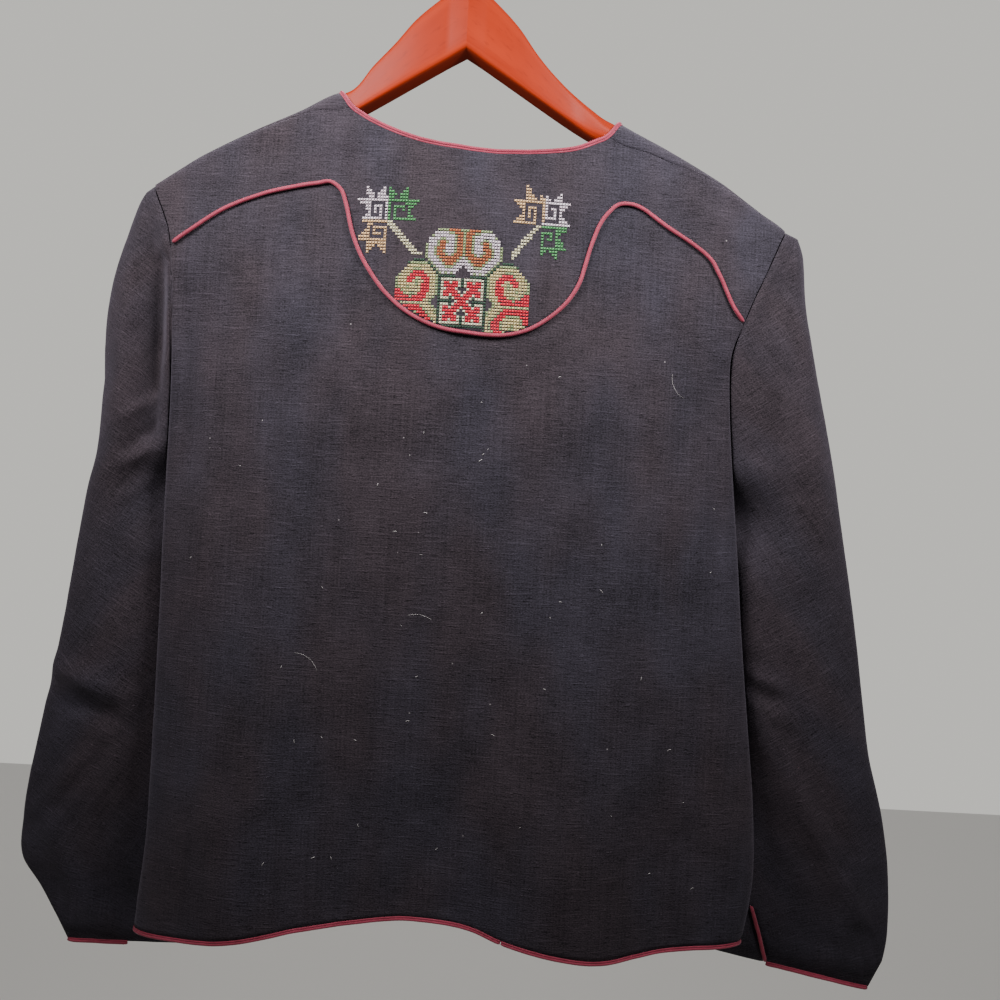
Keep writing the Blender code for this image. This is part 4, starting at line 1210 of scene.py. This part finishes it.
def floor_look():
    made = Recipe("pale_floor")
    colour = made.blend(made.noise(made.spot(), 3.0), (0.66, 0.64, 0.60), (0.69, 0.67, 0.63))
    return made.finish(Base_Color=colour, Roughness=0.9, Specular_IOR_Level=0.2)


# Cross-stitch, charted. A letter is one stitch, a dot is bare cloth. The first column of
# the middle square's light outline is column 0 and its first row is row 0.
STITCH_WIDE, STITCH_TALL = 2.065, 2.247
CHART_LEFT, CHART_TOP = -8.74, -278.66
LEFT_STARS = Chart(-31, -29, (
    "...P.....P.G.....G......", "...PP...PP.GG...GG......", "...PPP.PPP.GGG.GGG......",
    "....PP.PPPPGG..GGG......", "PPPPPPPPPPPGGGGGGGGGGG..", ".PPPP.....PG.....GGGG...",
    "...PP.PPP.PG.GGGG.GG....", "...PP.P.P.PG.G..G.G.....", "....P.P.P.PG.G....G.....",
    "...PP...P.PG.G....GG....", "..PPPPPPP.PG.GGGGGGGG...", "..YYYYYYYYYCC...........",
    "....YY.....CCC..........", "....Y.YYYYY.CCC.........", "...YY.Y...Y..CCC........",
    "..YYY.YYY.Y...CCC.......", ".YYYY.....Y....CCC......", "YYYYYYYYYYY.....CCC.....",
    "....YYYYYYY......CCC....", "....YYY.YYY.......CCC...", "....YY...YY........CCC..",
    "....Y.....Y.........CCCC",
))
RIGHT_STARS = Chart(24, -32, (
    "....Y...............", "....YY..............", "....YY..........P...", "....YYY..Y.P...PP...",
    "....YYYY.YYPP.PPP...", "YYYYYYYYYYYPPPPPPPPP", ".YYY......YP....PPP.", "..YY.YYY..YP.PP.PP..",
    "...Y.Y.Y..YP..P.P...", "...Y.Y.Y..YP..P.P...", "..YY.Y.Y..YPPPP.PP..", ".YYY...Y..Y.....PPP.",
    "YYYYYYYY..PPPPPPPPPP", "........CCGGGGGGGGG.", ".......CC......GGGG.", "......CC..GGGG.GG...",
    ".....CC...G..G.G....", "....CCC...G.GG.GG...", "...CCC....G....GGG..", "...CC.....G....GGG..",
    "..CC......GGGGGGGGG.", ".CC.......GG.GGG....", "CCC.......G...GG....", "CC.............G....",
    "C...................",
))
# The top double snail's left half. A chart's place is its first column and row, and the column
# from which it runs backward.
TOP_SNAIL_AT = (-6, -16, 20)
TOP_SNAIL = (
    "....ggggOOOOgg", "...PPPPPggOOOg", "..gPPPPPPPgOOg", ".PPPPggPPPgOOg", ".PPPgOOgPPgOOg",
    "gPPPgOOPPPgOOg", "gPPgOOOPPPgOOg", "gPPgOOgPPPgOOg", "gPPgOOOgPgOOOg", "gPPPgOOOOOOOgP",
    ".gPPPgOOOOOgPP", "..gPPPgOOOgPPP", "D..gPPPgggPPP.", "DD..gPPPPPPP..", "..D..gPgPgP...",
    ".....DDDDDD...",
)
SIDE_SNAIL_AT = (-16, -6, 30)       # the left side snail; the right one mirrors it
SIDE_SNAIL = (
    "......DDDD......", "....DggggggD....", "....BBBBBBBBD...", "...BBBgggBBBBD..", "..BBBgRRRRBBBBD.",
    ".gBBBRRRRRRBBBgD", "gBBBRRRBBRRRBBgD", "gBBBRRBgBBRRBBgD", "gBBBBBBgBRRRBBgD", "ggBBgBBBBRRRBBgD",
    "RRgBBBBBBRRRBBgD", "RRRgBggBRRRBBBgD", "RRRRRgRRRRRBBg.D", "RRRRRRRRRRBBg..D", "gBgBgBgBgBBBg..D",
    "RRRRRRRRRgBBBg.D", "RRRRRRRRRRgBBBgD", "RRRgggggRRRgBBgD", "RRgBBBBBBRRRgBBD", "RRgBBBBBBgRRRgBD",
    "RgBBBgBBBgRRRgBD", "RgBBBggBBgRRRgBD", "RRgBBBBBgRRRgBBD",
)
SQUARE = (
    "WWWWWWWDWWWWWWW", "WRRWRRWDWRRWRRW", "WRRRRRWDWRRRRRW", "WWRRRW...WRRRWW", "WRRRRRW.WRRRRRW",
    "WRRWRRRWRRRWRRW", "WWWDWRRRRRWDWWW", "DDDD.WRRRW.DDDD", "WWWDWRRRRRWDWWW", "WRRWRRRWRRRWRRW",
    "WRRRRRW.WRRRRRW", "WWRRRW...WRRRWW", "WRRRRRWDWRRRRRW", "WRRWRRWDWRRWRRW", "WWWWWWWDWWWWWWW",
)
THREADS = {
    "P": ("blush", (0.72, 0.56, 0.62)), "W": ("ivory", (0.62, 0.60, 0.40)),
    "G": ("green", (0.060, 0.25, 0.075)), "g": ("sage", (0.26, 0.34, 0.15)),
    "D": ("forest", (0.016, 0.050, 0.026)), "R": ("red", (0.64, 0.010, 0.030)),
    "O": ("rust", (0.40, 0.115, 0.035)), "Y": ("gold", (0.62, 0.40, 0.20)),
    "C": ("cream", (0.66, 0.58, 0.38)), "B": ("straw", (0.58, 0.49, 0.22)),
}
THREAD_HALF = 0.37          # half a stitch's thread, across and through
THREAD_DEEP = 0.26
THREAD_RISE = 0.34          # how far a strand arches up between its ends
STRAND_WIDE, STRAND_TALL = 0.41, 0.33       # half a strand's reach, as shares of the stitch
STRANDS = ((0.10, -1), (0.46, 1))           # the two strands of a cross: how high, which way it leans
# a lozenge section at four places along a strand: how far along, how high, how thick
STRAND = ((-1.0, 0.0, 0.45), (-0.45, 0.85, 1.0), (0.45, 0.85, 1.0), (1.0, 0.0, 0.45))


def charted():
    """Every stitch as (column, row, letter)."""
    stitches = {}

    def lay(lines, column, row, mirror=None, clears=True):
        """Stitch a chart from its first place on, and again backward from the column mirror.

        Where clears is true, its dots take earlier stitches away.
        """
        for r, line in enumerate(lines):
            for c, letter in enumerate(line):
                if clears or letter != ".":
                    stitches[column + c, row + r] = letter
                    if mirror is not None:
                        stitches[mirror - c, row + r] = letter

    for chart in (LEFT_STARS, RIGHT_STARS):
        lay(chart.lines, chart.column, chart.row)
    lay(TOP_SNAIL, *TOP_SNAIL_AT)
    lay(SQUARE, 0, 0)
    lay(SIDE_SNAIL, *SIDE_SNAIL_AT, clears=False)
    lay(("D" * (len(SQUARE) + 2),), -1, len(SQUARE))    # the square's dark lower edge
    return {place: letter for place, letter in stitches.items() if letter != "."}


def within(outline, x, z):
    """Whether a place lies inside a closed outline."""
    crossings = 0
    for a, b in zip(outline, outline[1:] + outline[:1]):
        if (a.y > z) != (b.y > z) and x < a.x + (z - a.y) * (b.x - a.x) / (b.y - a.y):
            crossings += 1
    return crossings % 2 == 1


def make_stitches():
    chance = random.Random(4)
    seam = spaced([Vector(sighted(place, YOKE_READ_AT, -1)) for place in YOKE_CURVE], CURVE_SHARES)
    # raised a little, so that the last row stops at the cord
    bound = [Vector((mix(p.x, 11, 0.022), p.y + 2.0)) for p in seam]
    bound += [Vector((110, -190)), Vector((-90, -190))]
    shapes = {letter: bmesh.new() for letter in THREADS}
    for (c, r), letter in charted().items():
        x = CHART_LEFT + (c + 0.5) * STITCH_WIDE
        z = CHART_TOP - (r + 0.5) * STITCH_TALL
        if not within(bound, x, z):
            continue
        for layer, slope in STRANDS:
            half = Vector((STITCH_WIDE * STRAND_WIDE, 0, slope * STITCH_TALL * STRAND_TALL))
            half.rotate(Matrix.Rotation(chance.uniform(-0.06, 0.06), 3, "Y"))
            across = Vector((-half.z, 0, half.x)).normalized()
            thick = chance.uniform(0.9, 1.1)
            rings = []
            for along, high, size in STRAND:
                spot = Vector((x, 0, z)) + half * along
                y = back_y(spot.x, spot.z, YOKE_FOLDS) - layer - high * THREAD_RISE
                ring = []
                for side, lift in ((1, 0), (0, 1), (-1, 0), (0, -1)):
                    place = spot + across * side * THREAD_HALF * size * thick
                    place.y = y - lift * THREAD_DEEP * size
                    ring.append(shapes[letter].verts.new(place * MM))
                rings.append(ring)
            tube(shapes[letter], rings)
    return [
        make_piece("cross_stitch_" + word, shapes[letter], thread_look(word, colour))
        for letter, (word, colour) in THREADS.items()
    ]


# Slubs: thick places in the weft that stand out of the cloth, and lint caught on it
SLUBS_BACK, SLUBS_YOKE = 420, 70
SLUB_LENGTHS = (2.0, 3.0, 4.0, 6.0, 9.0)
SLUB_SIDES, STRAND_STEPS = 6, 6
HAIR_HALF, FIBRE_HALF = 0.075, 0.13         # half the thickness of a hair and of a short fibre
NECK_MIDDLE, NECK_CLEAR = 12.0, 128.0      # the yoke's slubs keep this far from the neck's middle
LINT, HAIRS = 46, 3         # fibres, the first few of them long hairs


def back_y(x, z, folds):
    """The cloth's outer surface on the back, with its folds."""
    return face_y(x, z, -1) - relief(x, z, folds)


def slub_places(chance):
    """Random places on the back and the yoke as (x, z, that panel's folds)."""
    places = []
    for _ in range(SLUBS_BACK):
        z = chance.uniform(-745, -330)
        places.append((side_x(z, chance.uniform(-0.93, 0.93)), z, BACK_FOLDS))
    for _ in range(SLUBS_YOKE):
        x = chance.uniform(-190, 200)
        z = ridge(x) - chance.uniform(14, 40)
        if abs(x - NECK_MIDDLE) > NECK_CLEAR:
            places.append((x, z, YOKE_FOLDS))
    return places


def make_slubs(look):
    """Thick places in the weft, each a spindle that lies half in the cloth."""
    chance = random.Random(11)
    shape = bmesh.new()
    weave = shape.loops.layers.uv.new("weave")
    for x, z, folds in slub_places(chance):
        length = chance.choice(SLUB_LENGTHS) * chance.uniform(0.7, 1.2)
        thick = chance.uniform(0.22, 0.42)
        drift = chance.uniform(-0.05, 0.05)
        rings = []
        for step in range(STRAND_STEPS + 1):
            t = step / STRAND_STEPS * 2 - 1
            at_x, at_z = x + t * length / 2, z + t * drift * length
            y = back_y(at_x, at_z, folds) + 0.05
            size = thick * (1 - t * t) ** 0.5 + 0.02
            angles = [2 * math.pi * k / SLUB_SIDES for k in range(SLUB_SIDES)]
            rings.append([
                shape.verts.new(Vector((at_x, y - math.cos(a) * size * 0.8, at_z + math.sin(a) * size)) * MM)
                for a in angles
            ])
        for face, _, _ in tube(shape, rings)[0]:
            for loop in face.loops:
                loop[weave].uv = (loop.vert.co.x, loop.vert.co.z)
    return make_piece("weft_slubs", shape, look)


def make_lint(look):
    """Short pale fibres and a few hairs that cling to the back, each a thin bent strand."""
    chance = random.Random(23)
    shape = bmesh.new()
    for number in range(LINT):
        x, z = chance.uniform(-190, 205), chance.uniform(-735, -335)
        turn = chance.uniform(0, math.pi)
        bend = chance.uniform(-0.5, 0.5)
        length = chance.uniform(12, 26) if number < HAIRS else chance.uniform(0.8, 3.2)
        size = HAIR_HALF if number < HAIRS else FIBRE_HALF
        rings = []
        for step in range(STRAND_STEPS + 1):
            t = step / STRAND_STEPS
            angle = turn + bend * t * 3
            x += math.cos(angle) * length / STRAND_STEPS
            z += math.sin(angle) * length / STRAND_STEPS
            middle = Vector((x, back_y(x, z, BACK_FOLDS) - 0.12 - 0.25 * math.sin(math.pi * t), z))
            across = Vector((-math.sin(angle), 0, math.cos(angle))) * size
            places = (middle + across, middle - Vector((0, size, 0)), middle - across)
            rings.append([shape.verts.new(place * MM) for place in places])
        tube(shape, rings)
    return make_piece("lint", shape, look)


# Hanger
HANGER_STEP = 2.0           # from one ring of points to the next
HANGER_ROUND = 44
CENTRE_RIDGE = 1.3          # how proud the joint between the two halves stands
CENTRE_REACH = 14.0
HANGER_APEX, HANGER_SLOPE, HANGER_BEND = -108.0, 0.6, 88.0     # the straight underside of both arms
HANGER_TURN = 22.0          # the length over which the underside then turns to follow the top
HANGER_SQUARE = 9.0         # how square the body's section is by the middle
LEFT_REST, RIGHT_REST = (68, 90), (100, 118)        # where each arm's top comes to lie under the cloth
ARM_END = 198.0
GRAIN_STRETCH, GRAIN_AROUND = 1.15, 2.6     # the grain's scale along an arm, and from one corner to the next
OTHER_HALF = 0.9            # how far off in the grain the other half of the hanger starts
RIGHT_ARM_TOP = rows("x top",
    (0, -61), (10, -64), (21, -72.5), (38, -89), (52, -107), (64, -120), (79, -133), (97, -144.5),
    (117, -155), (150, -168), (198, -193.4), (206, -200), (212, -205))


def make_hanger(look):
    shape = bmesh.new()
    grain = shape.loops.layers.uv.new("grain")
    reach = ARMS[-1].x
    stations = [k * HANGER_STEP for k in range(int(reach / HANGER_STEP) + 1)]
    if stations[-1] < reach:
        stations.append(reach)
    stations = [-x for x in reversed(stations[1:])] + stations
    rings = []
    for x in stations:
        out = abs(x)
        top = read(RIGHT_ARM_TOP if x > 0 else ARMS, "x", "top", out)
        under = HANGER_APEX - HANGER_SLOPE * min(out, HANGER_BEND + HANGER_TURN)
        start, whole = RIGHT_REST if x > 0 else LEFT_REST
        resting = ease((out - start) / (whole - start)) * (1 - ease((out - ARM_END) / 4))
        top = mix(top, ridge(x) - WALL - HANGER_CLEARANCE, resting)
        under = mix(under, top - read(ARMS, "x", "height", out), ease((out - HANGER_BEND) / HANGER_TURN))
        tall = (top - under) / 2
        thick = read(ARMS, "x", "half", out) + CENTRE_RIDGE * max(1 - out / CENTRE_REACH, 0.0)
        power = mix(HANGER_SQUARE, read(ARMS, "x", "power", out), ease((out - 60) / 50))
        ring = []
        for k in range(HANGER_ROUND):
            angle = 2 * math.pi * (k + 0.5) / HANGER_ROUND
            side, up = math.cos(angle), math.sin(angle)
            y = math.copysign(abs(side) ** (2 / power), side) * thick
            z = math.copysign(abs(up) ** (2 / power), up) * tall
            ring.append(shape.verts.new(Vector((x, arm_curve(x) + y, top - tall + z)) * MM))
        rings.append(ring)
    for face, i, k in tube(shape, rings)[0]:
        # the grain runs along each arm, and starts afresh in each half
        half = OTHER_HALF if stations[i] < 0 else 0.0
        for loop, (station, step) in zip(face.loops, ((i, k), (i, k + 1), (i + 1, k + 1), (i + 1, k))):
            along = abs(stations[station]) * GRAIN_STRETCH * MM + half
            loop[grain].uv = (along, step * GRAIN_AROUND * MM)
    for edge in shape.edges:
        if all(abs(vert.co.x) < 1e-6 for vert in edge.verts):
            edge.smooth = False
    piece = make_piece("hanger_wood", shape, look)
    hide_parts("hanger_body")
    return piece


HOOK_STEP, HOOK_SIDES = 1.2, 16
HOOK_TIP = (0.55, 0.9)      # the last rings, rounded
COLLAR, COLLAR_TALL = 1.75, 4.0     # the collar's radius beside the wire's, and its height


def make_hook(look):
    """The wire hook with its collar where it screws into the wood."""
    centre = Vector((0, 0, HOOK_WIRE - HOOK_RADIUS))
    arc = [centre + Vector((math.cos(math.radians(a)), 0, math.sin(math.radians(a)))) * HOOK_RADIUS
           for a in range(-50, 196, 5)]
    shank = [Vector((x, 0, z)) for x, z in ((0, -61.5), (0, -57), (0, -51), (2, -46.5), (7.5, -41.5))]
    route = smooth_route(shank + arc, HOOK_STEP)
    shape = bmesh.new()
    rings = []
    for i, point in enumerate(route):
        along = (route[min(i + 1, len(route) - 1)] - route[max(i - 1, 0)]).normalized()
        aside = along.cross(Vector((0, 1, 0))).normalized()
        size = HOOK_WIRE * (COLLAR if i * HOOK_STEP < COLLAR_TALL else 1.0)
        left = len(route) - 1 - i
        if left < len(HOOK_TIP):
            size *= HOOK_TIP[left]
        rings.append([
            shape.verts.new((point + (aside * math.cos(a) + Vector((0, 1, 0)) * math.sin(a)) * size) * MM)
            for a in (2 * math.pi * k / HOOK_SIDES for k in range(HOOK_SIDES))
        ])
    tube(shape, rings)
    piece = make_piece("hook_wire", shape, look)
    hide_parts("hanger_hook")


def seam_toward(edge, inner):
    """For a cord along a panel's edge, the direction from its middle to the seam that holds it."""
    def toward(point):
        near = min(range(len(edge)), key=lambda i: (edge[i] - point).length_squared)
        return (inner[near] - edge[near]).normalized() + Vector((1e-6, 0, 0))
    return toward


def into_cloth(point):
    """For a cord that lies on the back, the direction into the cloth."""
    return Vector((0, 1, 0))


def edge_cord(name, edge, inner, least, trim, shows, look):
    """The cord beyond a panel's edge. inner is the panel's next line of points."""
    route = shortened(thinned(along_edge(edge, inner), least), trim, trim)
    return cord(name, route, seam_toward(edge, inner), look, shows)


def make_cords(back, yoke, left, right, sleeves, look):
    lifted = []
    for below, above in zip(back[0], yoke[-1]):
        seam = (below + above) / 2
        lifted.append(seam + cloth_normal(seam) * PIPE_LIFT)
    made = [cord("yoke_cord", shortened(thinned(lifted, 7.0), 3.0, 3.5), into_cloth, look)]

    shoulder, down = len(SHOULDER_SHARES) - 1, len(NECK_SIDE_SHARES) - 1

    def neck_line(front, inward):
        """A front's neck edge, or the line of points beside it when inward is 1."""
        return [row[shoulder - inward] for row in front[:down]] + front[down + inward][shoulder:]

    neck = [
        neck_line(left, inward)[::-1] + yoke[inward][shoulder:-shoulder] + neck_line(right, inward)
        for inward in (0, 1)
    ]
    made.append(edge_cord("neck_cord", *neck, 5.0, 0.8, 0.75, look))

    join = min(range(len(back[-1])), key=lambda j: abs(back[-1][j].x - HEM_JOIN_X))
    hem_left = [left[row][::-1] + back[row][:join + 1] for row in (-1, -2)]
    hem_right = [back[row][join:] + right[row] for row in (-1, -2)]
    made.append(edge_cord("hem_cord_left", *hem_left, 3.5, SEAM_GAP, 0.62, look))
    made.append(edge_cord("hem_cord_right", *hem_right, 3.5, SEAM_GAP, 0.62, look))

    for side, (grid, _) in zip(("left", "right"), sleeves):
        cuff = [grid[row][VENT_COLUMN:] for row in (-1, -2)]
        made.append(edge_cord("cuff_cord_" + side, *cuff, 4.0, 0.0, 0.75, look))
    made.append(cord("vent_cord_right", vent_route(*sleeves[1]), into_cloth, look))
    return made


# The stage, in metres
FLOOR_Z = -1.45
KEY_SIZE, KEY_POWER, KEY_COLOUR, KEY_SPREAD = (0.28, 0.22), 3.2, (1.0, 0.97, 0.99), math.radians(112)
SUN_STRENGTH = 1.7
CAMERA_ROLL = 3.0           # the picture's content leans this many degrees clockwise
HALF_VIEW = 0.37            # half the width seen at the origin's distance


def make_floor():
    bpy.ops.mesh.primitive_plane_add(size=6.0, location=(0, 0, FLOOR_Z))
    floor = bpy.context.object
    floor.name = "floor"
    floor.data.materials.append(floor_look())


def add_lamp(name, data, place, target):
    """A lamp at one place, turned to another."""
    lamp = bpy.data.objects.new(name, data)
    bpy.context.collection.objects.link(lamp)
    lamp.location = place
    lamp.rotation_euler = (Vector(target) - Vector(place)).to_track_quat("-Z", "Y").to_euler()


def make_world():
    """Pale behind the object, dim on it, so that the lamps give the cloth its shading."""
    world = bpy.data.worlds.new("studio")
    world.use_nodes = True
    tree = world.node_tree
    dim = tree.nodes["Background"]
    dim.inputs["Color"].default_value = (0.92, 0.93, 1.0, 1)
    dim.inputs["Strength"].default_value = 0.035
    pale = tree.nodes.new("ShaderNodeBackground")
    pale.inputs["Color"].default_value = (0.66, 0.65, 0.61, 1)
    seen = tree.nodes.new("ShaderNodeLightPath")
    mixed = tree.nodes.new("ShaderNodeMixShader")
    tree.links.new(seen.outputs["Is Camera Ray"], mixed.inputs[0])
    tree.links.new(dim.outputs[0], mixed.inputs[1])
    tree.links.new(pale.outputs[0], mixed.inputs[2])
    tree.links.new(mixed.outputs[0], tree.nodes["World Output"].inputs["Surface"])
    bpy.context.scene.world = world


def make_stage():
    make_floor()
    make_world()
    for name, x, target_x in (("key_left", -0.31, -0.10), ("key_right", 0.37, 0.16)):
        key = bpy.data.lights.new(name, "AREA")
        key.shape = "RECTANGLE"
        key.size, key.size_y = KEY_SIZE
        key.energy, key.color, key.spread = KEY_POWER, KEY_COLOUR, KEY_SPREAD
        add_lamp(name, key, (x, -0.40, 0.02), (target_x, 0, -0.20))
    sun = bpy.data.lights.new("from_behind", "SUN")
    sun.energy, sun.angle = SUN_STRENGTH, math.radians(20)
    add_lamp("from_behind", sun, (0, 0, 0), (0, -0.5, -1))
    data = bpy.data.cameras.new("camera")
    data.angle = 2 * math.atan(HALF_VIEW / (-EYE_Y * MM))
    camera = bpy.data.objects.new("camera", data)
    bpy.context.collection.objects.link(camera)
    camera.location = (EYE_X * MM, EYE_Y * MM, EYE_Z * MM)
    turn = Matrix.Rotation(math.radians(90), 4, "X") @ Matrix.Rotation(math.radians(CAMERA_ROLL), 4, "Z")
    camera.rotation_euler = turn.to_euler()
    bpy.context.scene.camera = camera


def main():
    cloth = cloth_look("handwoven_cloth", 0.84)
    panels, back, yoke, left, right = make_panels(cloth)
    sleeves, grids = make_sleeves(cloth)
    sewn_on = make_cords(back, yoke, left, right, grids, cord_look())
    sewn_on += make_stitches()
    sewn_on += [make_slubs(cloth_look("slub_yarn", 1.15)), make_lint(lint_look())]
    hanger = make_hanger(wood_look())
    make_hook(steel_look())
    make_stage()


main()
